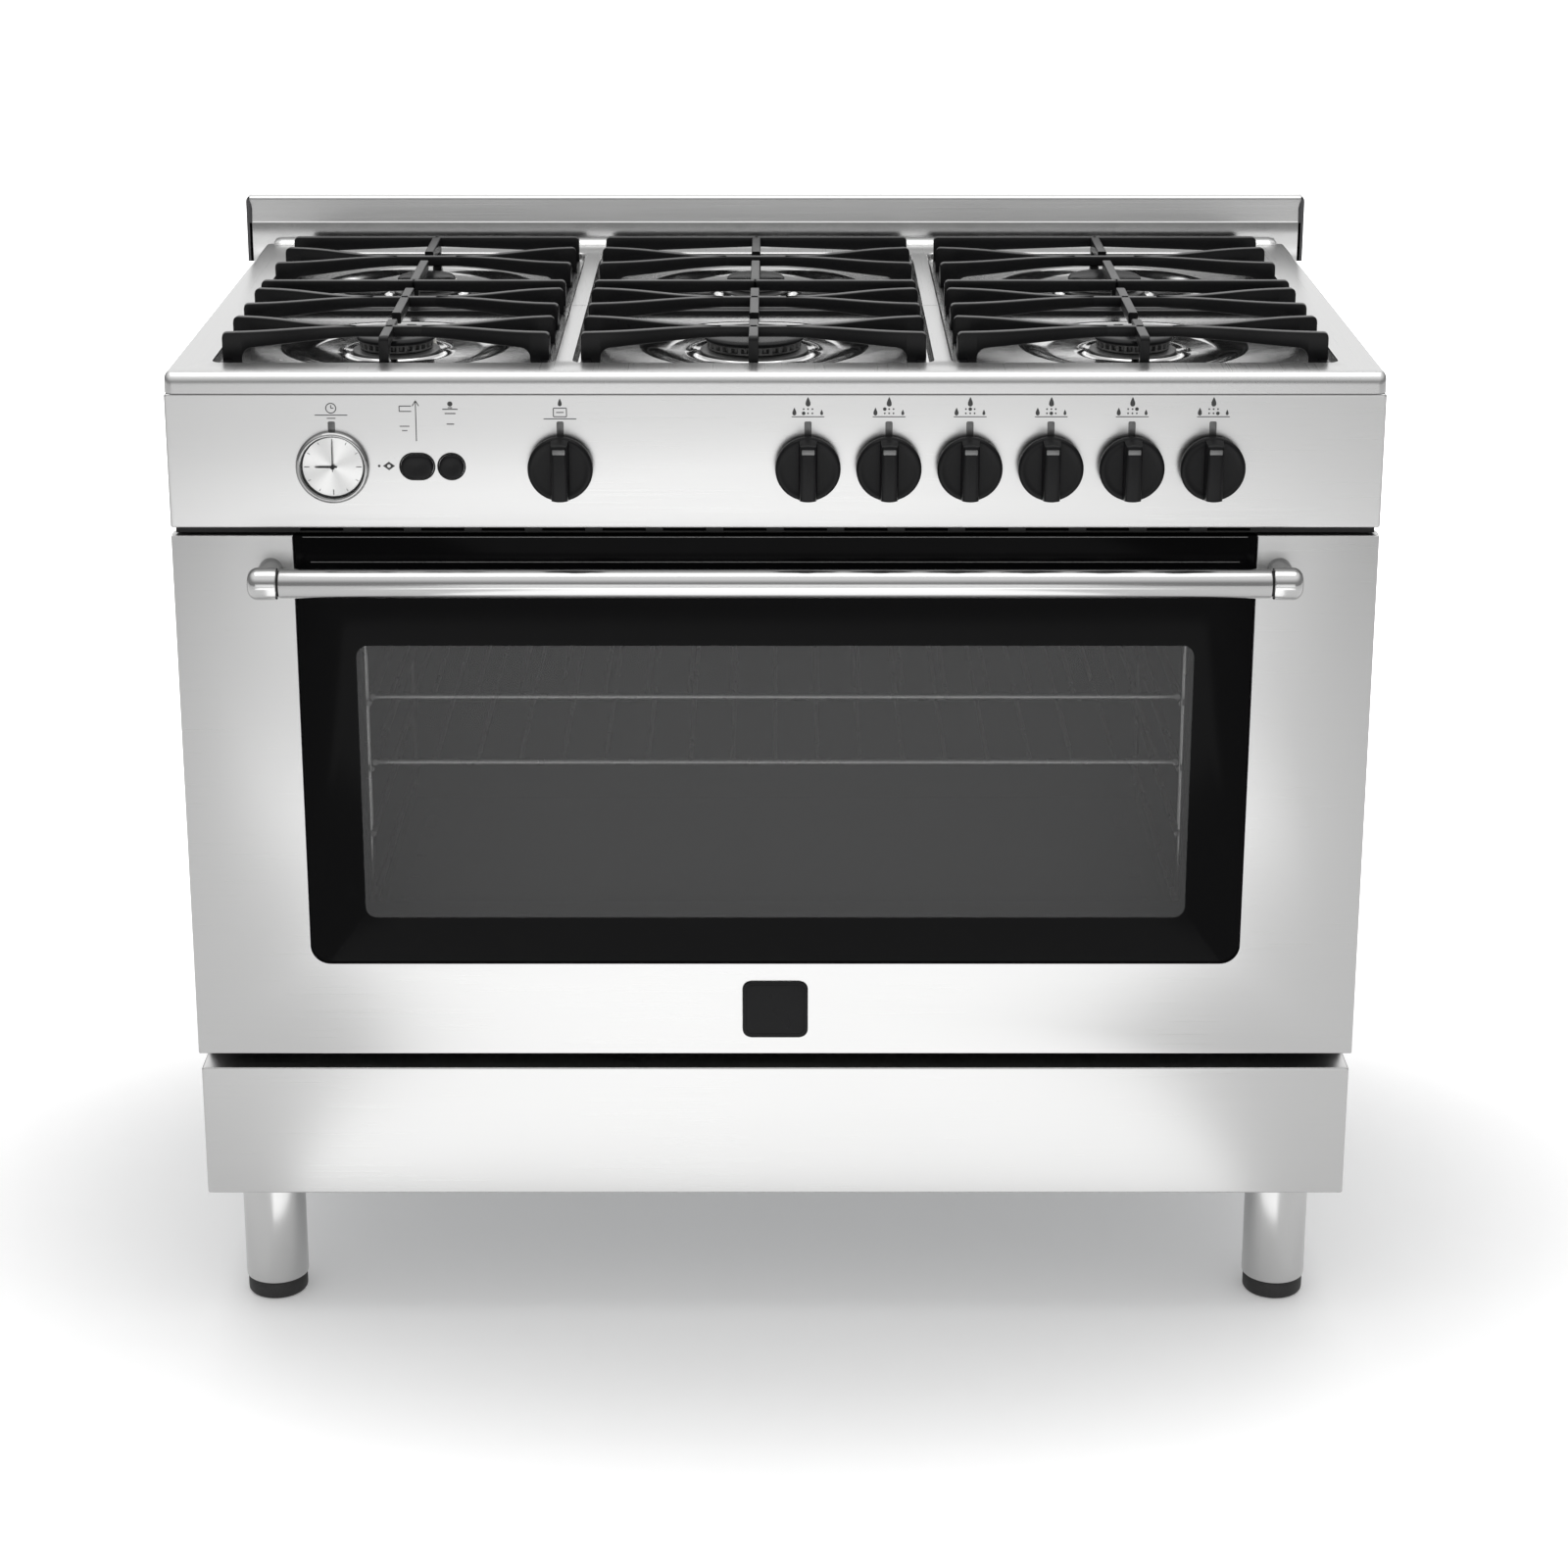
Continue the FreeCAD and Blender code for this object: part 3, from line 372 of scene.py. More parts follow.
def finish(name, build, metallic=0.0, bump=0.1, reach=mm(0.1), plain=None, **values):
    """A material: one shared effect feeds colour, roughness and height, and the rest is set on the shader."""
    if name in MATERIALS:
        return MATERIALS[name]
    material = bpy.data.materials.new(name)
    material.use_nodes = True
    tree = material.node_tree
    shader = tree.nodes["Principled BSDF"]
    place = tree.nodes.new("ShaderNodeTexCoord")
    group = tree.nodes.new("ShaderNodeGroup")
    group.node_tree = effect(build)
    tree.links.new(place.outputs["Object"], group.inputs["Vector"])
    for label, value in values.items():
        socket = group.inputs[label.replace("_", " ").capitalize()]
        if socket.type == "RGBA":
            value = tuple(value)[:3] + (1,)
        socket.default_value = value
    tree.links.new(group.outputs["Colour"], shader.inputs["Base Color"])
    tree.links.new(group.outputs["Roughness"], shader.inputs["Roughness"])
    relief = preset(tree.nodes.new("ShaderNodeBump"), {"Strength": bump, "Distance": reach})
    tree.links.new(group.outputs["Height"], relief.inputs["Height"])
    tree.links.new(relief.outputs["Normal"], shader.inputs["Normal"])
    preset(shader, {"Metallic": metallic, **(plain or {})})
    MATERIALS[name] = material
    return material


def brushed(name="Brushed steel", stretch=(4, 900, 900), shade=1.0, roughness=None, **extra):
    colour = [part * shade for part in finishes().steel]
    level = finishes().steel_roughness if roughness is None else roughness
    return finish(name, brushed_grain, metallic=1.0, bump=finishes().grain_depth, reach=mm(0.05),
                  stretch=stretch, colour=colour, roughness=level, **extra)


def fore_aft_steel():
    return brushed("Brushed steel fore and aft", stretch=(900, 4, 900))


def upright_steel():
    return brushed("Brushed steel upright", stretch=(900, 900, 4), roughness=0.24)


def polished_steel():
    return brushed("Polished steel", stretch=(60, 60, 60), shade=1.08, roughness=0.09, wiping=0.04, contrast=0.01)


# Painted light: the pressed wells take the brushed steel made a quarter lighter, standing in for light the wells
# would catch.
def well_steel_painted_lighter():
    return brushed("Pressed well steel painted lighter", stretch=(60, 60, 60), shade=1.25, roughness=0.24, wiping=0.05, contrast=0.02)


def smooth_steel():
    return brushed("Smooth steel", stretch=(30, 60, 60), roughness=0.15, wiping=0.05, contrast=0.02)


# Painted shade: the clock ring is the brushed steel darkened to seven tenths.
def painted_shade_plating():
    return brushed("Plating darkened as painted shade", stretch=(40, 40, 40), shade=0.72, roughness=0.10, wiping=0.03, contrast=0.01)


def satin_steel():
    return brushed("Satin tube", stretch=(6, 700, 700), roughness=0.17)


def wall_steel():
    return finish("Side panel paint", mottle, metallic=0.7, bump=0.04, fineness=900.0, colour=(0.30, 0.30, 0.305),
                  dust_colour=(0.4, 0.4, 0.4), dust=0.05, roughness=0.42, unevenness=0.08)


def galvanised():
    return finish("Galvanised sheet", mottle, metallic=0.9, bump=0.08, fineness=120.0, colour=(0.50, 0.51, 0.52),
                  dust_colour=(0.66, 0.67, 0.68), dust=0.5, roughness=0.42, unevenness=0.25)


def cast_iron():
    return finish("Enamelled cast iron", mottle, bump=0.25, reach=mm(0.25), fineness=650.0, colour=finishes().iron,
                  dust_colour=(0.03, 0.03, 0.03), dust=0.15, roughness=0.30, unevenness=0.12,
                  plain={"Specular IOR Level": 0.20})


def black_enamel():
    return finish("Black enamel", mottle, bump=0.06, reach=mm(0.2), fineness=260.0, colour=(0.006, 0.006, 0.0065),
                  dust_colour=(0.03, 0.03, 0.03), dust=0.05, roughness=0.28, unevenness=0.08,
                  plain={"Specular IOR Level": 0.10})


def oven_enamel():
    return finish("Speckled oven enamel", mottle, bump=0.01, reach=mm(0.2), fineness=160.0,
                  colour=(0.018, 0.018, 0.020), dust_colour=(0.10, 0.10, 0.11), dust=0.12, roughness=0.5,
                  unevenness=0.02, plain={"Specular IOR Level": 0.3})


def burner_alloy():
    return finish("Cast burner alloy", mottle, metallic=0.9, bump=0.2, reach=mm(0.2), fineness=500.0,
                  colour=(0.15, 0.15, 0.15), dust_colour=(0.3, 0.29, 0.27), dust=0.3, roughness=0.42, unevenness=0.15)


def satin_plastic():
    return finish("Satin black plastic", mottle, bump=0.05, reach=mm(0.1), fineness=1500.0, colour=finishes().plastic,
                  dust_colour=(0.06, 0.06, 0.06), dust=0.08, roughness=0.32, unevenness=0.08,
                  plain={"Specular IOR Level": 0.14})


def foot_plastic():
    return finish("Matt foot plastic", mottle, bump=0.12, reach=mm(0.15), fineness=900.0,
                  colour=(0.014, 0.014, 0.014), dust_colour=(0.10, 0.10, 0.10), dust=0.25, roughness=0.55,
                  unevenness=0.1)


def chrome_wire():
    return finish("Plated wire", mottle, metallic=1.0, bump=0.03, fineness=300.0, colour=(0.88, 0.88, 0.88),
                  dust_colour=(0.7, 0.68, 0.64), dust=0.2, roughness=0.28, unevenness=0.1)


def rod_steel():
    return finish("Turned rod", mottle, metallic=1.0, bump=0.05, fineness=500.0, colour=(0.52, 0.52, 0.53),
                  dust_colour=(0.4, 0.4, 0.4), dust=0.1, roughness=0.32, unevenness=0.1)


def brass():
    return finish("Brass fitting", mottle, metallic=1.0, bump=0.05, fineness=300.0, colour=(0.62, 0.47, 0.20),
                  dust_colour=(0.35, 0.26, 0.12), dust=0.3, roughness=0.30, unevenness=0.15)


def blanket_fibre():
    return finish("Mineral blanket", weave, bump=0.6, reach=mm(1.5), fineness=40.0, colour=(0.70, 0.66, 0.52),
                  shade_colour=(0.50, 0.46, 0.34))


def seal_fibre():
    return finish("Woven seal", weave, bump=0.6, reach=mm(0.6), fineness=180.0, colour=(0.10, 0.10, 0.10),
                  shade_colour=(0.03, 0.03, 0.03))


def border_glass():
    return finish("Black printed glass", mottle, bump=0.01, fineness=30.0, colour=(0.002, 0.002, 0.0022),
                  dust_colour=(0.01, 0.01, 0.01), dust=0.05, roughness=0.12, unevenness=0.02,
                  plain={"Specular IOR Level": 0.05})


def window_glass():
    return finish("Tinted window", mottle, bump=0.01, fineness=30.0, colour=finishes().window,
                  dust_colour=(0.03, 0.03, 0.03), dust=0.1, roughness=0.30, unevenness=0.02,
                  plain={"Alpha": 0.62, "Specular IOR Level": 0.60})


def clear_glass():
    return finish("Clear pane", mottle, bump=0.01, fineness=30.0, colour=(0.30, 0.31, 0.31),
                  dust_colour=(0.5, 0.5, 0.5), dust=0.1, roughness=0.05, unevenness=0.02,
                  plain={"Alpha": 0.06, "Specular IOR Level": 0.3})


def printed_ink():
    return finish("Printed ink", mottle, bump=0.02, fineness=2500.0, colour=finishes().ink,
                  dust_colour=(0.3, 0.3, 0.3), dust=0.1, roughness=0.45, unevenness=0.1)


def printed_line():
    return finish("Grey printed line", mottle, bump=0.02, fineness=900.0, colour=(0.16, 0.16, 0.16),
                  dust_colour=(0.03, 0.03, 0.03), dust=0.8, roughness=0.3, unevenness=0.1)


# Dark joints, and painted shade laid flat in grooves, recesses and openings.
def dark_joint_and_painted_shade():
    return finish("Dark joints and painted groove shade", mottle, bump=0.02, fineness=500.0, colour=(0.006, 0.006, 0.006),
                  dust_colour=(0.03, 0.03, 0.03), dust=0.1, roughness=0.7, unevenness=0.1)


def tab_grey():
    return finish("Index tab", mottle, metallic=0.8, bump=0.03, fineness=900.0, colour=(0.13, 0.13, 0.13),
                  dust_colour=(0.3, 0.3, 0.3), dust=0.2, roughness=0.35, unevenness=0.1)


def edge_strip():
    return finish("Dark end strip", mottle, metallic=0.6, bump=0.04, fineness=700.0, colour=(0.085, 0.085, 0.088),
                  dust_colour=(0.2, 0.2, 0.2), dust=0.2, roughness=0.40, unevenness=0.1)


def ceramic():
    return finish("Igniter ceramic", mottle, bump=0.03, fineness=900.0, colour=(0.74, 0.73, 0.69),
                  dust_colour=(0.4, 0.38, 0.33), dust=0.2, roughness=0.35, unevenness=0.1)


def dial_face():
    return finish("Spun dial", turned_grain_and_painted_sheen, metallic=1.0, bump=0.1, reach=mm(0.05),
                  centre=tuple(middle("clock_case")), colour=(0.74, 0.74, 0.735), roughness=0.26)


# ------------------------------------------------------------ mesh tools


def arc(centre, radius, start, stop, steps):
    """Points of an arc in a plane, angles in degrees."""
    points = []
    for step in range(steps + 1):
        angle = math.radians(start + (stop - start) * step / steps)
        points.append((centre[0] + radius * math.cos(angle), centre[1] + radius * math.sin(angle)))
    return points


def swing(start, stop, step):
    """The (cosine, sine) of each angle in degrees from start to stop."""
    turns = [math.radians(angle) for angle in range(start, stop + 1, step)]
    return [(math.cos(turn), math.sin(turn)) for turn in turns]


def rounded_outline(u, v, radius, steps=6):
    """A rectangle between two pairs with rounded corners, from the lower left corner round."""
    radius = max(radius, mm(0.01))
    low_u, high_u, low_v, high_v = u[0] + radius, u[1] - radius, v[0] + radius, v[1] - radius
    return (arc((low_u, low_v), radius, 180, 270, steps) + arc((high_u, low_v), radius, 270, 360, steps)
            + arc((high_u, high_v), radius, 0, 90, steps) + arc((low_u, high_v), radius, 90, 180, steps))


def sill_outline(u, v, radius, steps=8):
    """A rectangle with only its two lower corners rounded, from the lower left corner round."""
    return (arc((u[0] + radius, v[0] + radius), radius, 180, 270, steps)
            + arc((u[1] - radius, v[0] + radius), radius, 270, 360, steps) + [(u[1], v[1]), (u[0], v[1])])


def panel_outline(low, high, inset, radius, steps=6):
    """The rounded outline of an upright face between two corners, drawn in by an inset."""
    return rounded_outline((low.x + inset, high.x - inset), (low.z + inset, high.z - inset), radius, steps)


def profile_off(radius, height, steps):
    """A profile's (radius, height) pairs from millimetre steps off a radius and a height."""
    return [(radius + mm(outward), height + mm(upward)) for outward, upward in steps]


def circle(centre, radius, steps):
    """Points of a circle in a plane."""
    return arc(centre, radius, 0, 360 - 360 / steps, steps - 1)


def in_front(points, y):
    """Plane points standing upright at y."""
    return [(u, y, v) for u, v in points]


def lying(points, z):
    """Plane points lying at height z."""
    return [(u, v, z) for u, v in points]


class Shape:
    """A mesh under construction, with a material slot for each finish it uses."""

    def __init__(self, name):
        self.name = name
        self.mesh = bmesh.new()
        self.finishes = []

    def index(self, material):
        if material not in self.finishes:
            self.finishes.append(material)
        return self.finishes.index(material)

    def face(self, corners, material):
        made = self.mesh.faces.new(corners)
        made.material_index = self.index(material)
        return made

    def loft(self, loops, material, closed=True, first=False, last=False):
        """Skins successive loops of equal length, and closes either end with a flat face."""
        rings = [[self.mesh.verts.new(point) for point in loop] for loop in loops]
        count = len(rings[0])
        for near, far in zip(rings, rings[1:]):
            for number in range(count if closed else count - 1):
                following = (number + 1) % count
                self.face((near[number], near[following], far[following], far[number]), material)
        if first:
            self.face(rings[0][::-1], material)
        if last:
            self.face(rings[-1], material)
        return rings

    def fill(self, loops, material):
        """A flat face inside the first loop, with the others as holes."""
        edges = []
        for loop in loops:
            ring = [self.mesh.verts.new(point) for point in loop]
            edges += [self.mesh.edges.new((ring[number - 1], ring[number])) for number in range(len(ring))]
        made = bmesh.ops.triangle_fill(self.mesh, use_beauty=True, use_dissolve=False, edges=edges)
        for item in made["geom"]:
            if isinstance(item, bmesh.types.BMFace):
                item.material_index = self.index(material)

    def prism(self, outline, near, far, material, ease=0.0, steps=2):
        """An upright outline taken from y near to y far, with its near edges eased."""
        before = set(self.mesh.faces)
        rings = self.loft([in_front(outline, near), in_front(outline, far)], material, first=True, last=True)
        if ease:
            ring = rings[0]
            edges = [self.mesh.edges.get((ring[number - 1], ring[number])) for number in range(len(ring))]
            bmesh.ops.bevel(self.mesh, geom=edges, offset=ease, segments=steps, profile=0.5, affect="EDGES",
                            clamp_overlap=True)
        for item in self.mesh.faces:
            if item not in before:
                item.material_index = self.index(material)

    def turned(self, profile, centre, axis, material, steps=48):
        """A body of revolution from (radius, height) pairs, its height along z, -y or x."""
        loops = []
        for radius, height in profile:
            loop = []
            for u, v in circle((0, 0), max(radius, 1e-7), steps):
                offset = {"z": (u, v, height), "-y": (u, -height, v), "x": (height, u, v)}[axis]
                loop.append(tuple(Vector(centre) + Vector(offset)))
            loops.append(loop)
        self.loft(loops, material)

    def bar(self, path, tops, bottoms, width, material, ease=mm(1.3)):
        """A bar on edge along a plan path, with its own top and underside height at each place."""
        loops = []
        half = width / 2
        for number, (x, y) in enumerate(path):
            before, after = path[max(number - 1, 0)], path[min(number + 1, len(path) - 1)]
            along = Vector((after[0] - before[0], after[1] - before[1])).normalized()
            side = Vector((-along.y, along.x))
            section = rounded_outline((-half, half), (bottoms[number], tops[number]),
                                      min(ease, (tops[number] - bottoms[number]) / 2.2), 3)
            loops.append([(x + side.x * u, y + side.y * u, v) for u, v in section])
        self.loft(loops, material, first=True, last=True)

    def done(self, body, slot, nodes=(), sharp=32):
        """The finished object: welded, smoothed between sharp edges, and riding on its body."""
        bmesh.ops.remove_doubles(self.mesh, verts=self.mesh.verts, dist=2e-6)
        bmesh.ops.recalc_face_normals(self.mesh, faces=self.mesh.faces)
        for item in self.mesh.faces:
            item.smooth = True
        limit = math.radians(sharp)
        for edge in self.mesh.edges:
            if len(edge.link_faces) == 2:
                edge.smooth = edge.calc_face_angle(0) < limit
        data = bpy.data.meshes.new(self.name)
        self.mesh.to_mesh(data)
        self.mesh.free()
        for material in self.finishes:
            data.materials.append(material)
        made = bpy.data.objects.new(self.name, data)
        bpy.context.scene.collection.objects.link(made)
        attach(made, body)
        if nodes:
            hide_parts(*nodes)
        return made


def tray(shape, low, high, radius, material):
    """A folded front panel: a face with a rounded edge all round, and returns going back to the body."""
    corner = mm(2)
    loops = []
    for step in range(7):
        angle = math.radians(90 * step / 6)
        outline = panel_outline(low, high, radius * (1 - math.sin(angle)), corner)
        loops.append(in_front(outline, low.y + radius * (1 - math.cos(angle))))
    loops.append(in_front(panel_outline(low, high, 0, corner), high.y))
    shape.loft(loops, material, first=True)


def merge(shape, piece):
    """Adds one unfinished shape to another."""
    data = bpy.data.meshes.new("merging")
    indices = [shape.index(material) for material in piece.finishes]
    for item in piece.mesh.faces:
        item.material_index = indices[item.material_index]
    piece.mesh.to_mesh(data)
    piece.mesh.free()
    shape.mesh.from_mesh(data)
    bpy.data.meshes.remove(data)


def screw(shape, axis, radius, place, half_turn):
    """Adds a pan head screw, its crossed recess painted on its head as dark shade, its head along -y or x, or the
    other way after a half turn.
    """
    spare = Shape("spare")
    head = [(radius, 0), (radius, radius * 0.35), (radius * 0.8, radius * 0.62), (radius * 0.35, radius * 0.72),
            (0, radius * 0.74)]
    spare.turned(head, (0, 0, 0), axis, rod_steel(), 20)
    top = radius * 0.745
    # Painted shade: the crossed recess is two flat dark bars laid on the head.
    for wide, tall in ((radius * 0.5, radius * 0.1), (radius * 0.1, radius * 0.5)):
        corners = ((-wide, -tall), (wide, -tall), (wide, tall), (-wide, tall))
        points = [(u, -top, v) if axis == "-y" else (top, u, v) for u, v in corners]
        spare.face([spare.mesh.verts.new(point) for point in points], dark_joint_and_painted_shade())
    turn = Matrix.Rotation(math.pi if half_turn else 0, 4, "Z")
    bmesh.ops.transform(spare.mesh, matrix=Matrix.Translation(place) @ turn, verts=spare.mesh.verts)
    merge(shape, spare)


# ------------------------------------------------------------ cooktop


def burner_places():
    """The centre and cap radius of each burner, found from the separate caps of the frame."""
    apart = mm(110)
    boxes = []
    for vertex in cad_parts["burner_caps"].data.vertices:
        spot = vertex.co
        for number, (low, high) in enumerate(boxes):
            if abs(spot.x - (low.x + high.x) / 2) < apart and abs(spot.y - (low.y + high.y) / 2) < apart:
                boxes[number] = (Vector(map(min, low, spot)), Vector(map(max, high, spot)))
                break
        else:
            boxes.append((spot.copy(), spot.copy()))
    places = [((low + high) / 2, (high.x - low.x) / 2) for low, high in boxes]
    return sorted(places, key=lambda place: (round(place[0].x, 2), place[0].y))


def wells():
    """The three wells of the cooktop, from the pan supports that stand in them: (x pair, y pair)."""
    inset = mm(7)
    found = []
    for column in COLUMNS:
        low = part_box("grate_%s_front" % column)[0]
        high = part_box("grate_%s_rear" % column)[1]
        found.append(((low.x - inset, high.x + inset), (low.y - inset, high.y + inset)))
    return found


class RANGE_OT_cooktop(bpy.types.Operator):
    """Press the steel top: rolled front edge, three wells, and a dish round each burner"""

    bl_idname = "gas_range.cooktop"
    bl_label = "Cooktop"

    def execute(self, context):
        low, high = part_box("cooktop")
        top = high.z
        shape = Shape("cooktop_pressing")
        steel, painted_light_steel, dish_steel = fore_aft_steel(), well_steel_painted_lighter(), polished_steel()
        roll, side = sizes().top_roll, mm(4)

        def apron(across, back, corner):
            left, right, front = low.x + across, high.x - across, low.y + back
            points = [(left, high.y)]
            points += arc((left + corner, front + corner), corner, 180, 270, 8)
            points += arc((right - corner, front + corner), corner, 270, 360, 8)
            points.append((right, high.y))
            return points

        inner, outer = apron(side, roll, mm(3)), apron(0, 0, mm(8))
        loops = []
        for step in range(9):
            angle = math.radians(90 * step / 8)
            loop = []
            for first, second in zip(inner, outer):
                away = Vector((second[0] - first[0], second[1] - first[1]))
                drop = away.length * (1 - math.cos(angle))
                moved = away * math.sin(angle)
                loop.append((first[0] + moved.x, first[1] + moved.y, top - drop))
            loops.append(loop)
        loops.append([(x, y, low.z) for x, y in outer])
        shape.loft(loops, steel, closed=False)
        rims = []
        deep = sizes().well_depth
        floor, dish = top - deep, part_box("burner_caps")[0].z - mm(12)
        for (x, y) in wells():
            rims.append(lying(rounded_outline(x, y, mm(12)), top))
            loops = []
            for step, drop in ((0, 0), (0.5, 0.02), (1.0, 0.08), (1.5, 0.22), (1.9, 0.5), (2.2, 0.78), (2.8, 0.93),
                               (3.8, 1.0)):
                inset = mm(step)
                outline = rounded_outline((x[0] + inset, x[1] - inset), (y[0] + inset, y[1] - inset),
                                          mm(12 - step * 0.7))
                loops.append(lying(outline, top - deep * drop))
            shape.loft(loops, painted_light_steel)
            holes = []
            for centre, _ in burner_places():
                if x[0] < centre.x < x[1]:
                    holes.append(lying(circle((centre.x, centre.y), sizes().dish_radius, 96), floor))
            shape.fill([loops[-1]] + holes, painted_light_steel)
        shape.fill([lying(inner, top)] + rims, steel)
        fall = floor - dish
        for centre, cap in burner_places():
            reach = sizes().dish_radius
            profile = []
            for step in range(17):
                share = step / 16
                ease = share * share * (3 - 2 * share)
                profile.append((reach - mm(30) * share, -fall * ease * 0.92))
            profile.append((reach - mm(40), -fall * 0.96))
            profile += profile_off(cap, -fall, ((19, 0), (15, 0), (12.5, 0.9), (10.5, 1.8), (8.5, 1.4), (6.5, 0.4)))
            profile.append((mm(20), -fall + mm(0.2)))
            shape.turned(profile, (centre.x, centre.y, floor), "z", dish_steel, 96)
        # Painted light: the rear cove takes the same lighter well steel.
        cove = []
        for x, rise in ((low.x + mm(9), 0.2), (low.x + mm(12), 0.75), (low.x + mm(18), 1.0),
                        (high.x - mm(18), 1.0), (high.x - mm(12), 0.75), (high.x - mm(9), 0.2)):
            radius = mm(9) * rise
            cove.append([(x, high.y - radius + radius * sine, top + mm(0.05) + radius - radius * cosine)
                         for cosine, sine in swing(0, 90, 10)])
        shape.loft(cove, painted_light_steel, closed=False)
        split, seam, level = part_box("grate_left_front")[1].y, mm(0.4), top + mm(0.06)
        for near, far in zip(wells(), wells()[1:]):
            left, right = near[0][1] + seam, far[0][0] - seam
            shape.loft([[(left, y, level), (right, y, level)] for y in (split - seam, split + seam)], dark_joint_and_painted_shade(),
                       closed=False)
        shape.done("chassis", "brushed", ["cooktop"], sharp=28)
        return {"FINISHED"}


class RANGE_OT_backguard(bpy.types.Operator):
    """Fold the backguard, with its upper band, rolled top and dark end strips"""

    bl_idname = "gas_range.backguard"
    bl_label = "Backguard"

    def execute(self, context):
        low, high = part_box("backguard")
        steel = brushed()
        shape = Shape("backguard_fold")
        fold = high.z - sizes().guard_fold
        lean = mm(3.5)
        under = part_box("cooktop")[0].z
        profile = [(high.y, under), (low.y, under), (low.y, fold - mm(0.6)), (low.y + mm(0.25), fold),
                   (low.y + mm(0.9), fold + mm(0.8)), (low.y + lean, high.z - mm(4))]
        profile += [(low.y + lean + mm(3.5) - mm(3.5) * cosine, high.z - mm(4) + mm(4) * sine)
                    for cosine, sine in swing(15, 90, 15)]
        profile += [(high.y - mm(2) + mm(2) * sine, high.z - mm(2) + mm(2) * cosine)
                    for cosine, sine in swing(0, 90, 15)]
        profile.append((high.y, under))
        strip = mm(6)
        across = (low.x + strip * 0.5, low.x + strip * 0.6, high.x - strip * 0.6, high.x - strip * 0.5)
        for part, sheet in ((profile[:3], smooth_steel()), (profile[2:], steel)):
            shape.loft([[(x, y, z) for y, z in part] for x in across], sheet, closed=False)
        for side in (-1, 1):
            outer = high.x if side > 0 else low.x
            inner = outer - side * strip
            outline = [(outer, under), (outer, high.z - mm(5))]
            outline += [(outer - side * mm(3) * (1 - cosine), high.z - mm(5) + mm(5) * sine)
                        for cosine, sine in swing(30, 90, 30)]
            outline += [(inner + side * mm(5.2) * cosine ** 2, high.z - mm(16) + mm(16) * cosine)
                        for cosine, sine in swing(20, 80, 20)]
            outline.append((inner, under))
            shape.prism(outline if side < 0 else outline[::-1], low.y, high.y, edge_strip(), mm(0.5))
        inset, skirt = mm(42), high.y - mm(18)
        shape.loft([[(x, skirt, low.z), (x, skirt, under)] for x in (low.x + inset, high.x - inset)], galvanised(),
                   closed=False)
        screws = 7
        for number in range(screws):
            x = low.x + mm(60) + (high.x - low.x - mm(120)) * number / (screws - 1)
            screw(shape, "-y", mm(3.6), (x, high.y - mm(2.8), fold - mm(14)), True)
        shape.done("chassis", "brushed", ["backguard"], sharp=25)
        return {"FINISHED"}


class RANGE_OT_burners(bpy.types.Operator):
    """Cast the burner heads with their flame slots, and lay an enamelled cap on each"""

    bl_idname = "gas_range.burners"
    bl_label = "Burners"

    def execute(self, context):
        heads, caps, igniters = Shape("burner_heads"), Shape("burner_lids"), Shape("igniters")
        alloy, enamel = burner_alloy(), black_enamel()
        low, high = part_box("burner_caps")
        foot = low.z - mm(12)
        rise = high.z - foot
        for centre, cap in burner_places():
            at = (centre.x, centre.y, foot)
            skirt = [(mm(24), mm(0.2))]
            skirt += profile_off(cap, 0, ((3.4, 0.2), (4, 0.8), (3.6, 2.0), (1, 3.0), (-3, 3.4), (-4.5, 4)))
            heads.turned(skirt, at, "z", alloy, 64)
            slots = sizes().flame_slots
            loops = []
            for radius, height, cut in ((cap - mm(4.5), 4, 0), (cap - mm(3), 4.4, 0), (cap - mm(2.8), 6.2, 0),
                                        (cap - mm(2.8), 6.3, 1), (cap - mm(2.8), 10.6, 1), (cap - mm(2.8), 10.7, 0),
                                        (cap - mm(3.2), 12, 0), (mm(4), 12, 0)):
                loop = []
                for number in range(slots * 4):
                    depth = mm(3.2) if cut and number % 4 in (0, 1) else 0
                    angle = 2 * math.pi * (number + 0.12 * (1 if number % 2 else -1)) / (slots * 4)
                    reach = radius - depth
                    loop.append((centre.x + reach * math.cos(angle), centre.y + reach * math.sin(angle),
                                 foot + mm(height)))
                loops.append(loop)
            heads.loft(loops, alloy)
            lid = [(0, mm(12.2))]
            lid += profile_off(cap, 0, ((-2, 12.1), (-0.5, 12.4), (0, 13.2), (-0.1, 14.2), (-0.8, 15.2), (-2.2, 16.2),
                                        (-4.5, 16.9)))
            lid += [(cap - mm(8), rise - mm(0.7)), (cap * 0.5, rise - mm(0.15)), (0, rise)]
            caps.turned(lid, at, "z", enamel, 64)
            spot = (centre.x + (cap + mm(6.5)) * 0.72, centre.y + (cap + mm(6.5)) * 0.69, foot)
            insulator = profile_off(0, 0, ((0, 0), (3, 0), (3, 6), (2.6, 7.5), (2.2, 8), (0, 8)))
            igniters.turned(insulator, spot, "z", ceramic(), 16)
            pin = profile_off(0, 0, ((0.9, 7.5), (0.9, 11.2), (0.5, 11.8), (0, 11.9)))
            igniters.turned(pin, spot, "z", rod_steel(), 10)
        heads.done("chassis", "burner_alloy", ["burner_bases"], sharp=35)
        caps.done("chassis", "black_enamel", ["burner_caps"], sharp=60)
        igniters.done("chassis", "burner_alloy", sharp=40)
        return {"FINISHED"}


# shares of a pan support's own depth: where its legs stand, and how its bars run between them
SUPPORT_PLANS = {
    "front": {"legs": (0.10, 0.39, 0.62, 0.92), "straight": (), "crosses": ((0, 1, 0.21), (2, 3, 0.75)),
              "fingers": ((0.02, 0.33, True, False), (0.45, 0.92, False, False))},
    "rear": {"legs": (0.06, 0.40, 0.71, 0.93), "straight": (0, 3), "crosses": ((1, 2, 0.53),),
             "fingers": ((0.06, 0.44, True, False), (0.62, 0.93, False, True))},
}


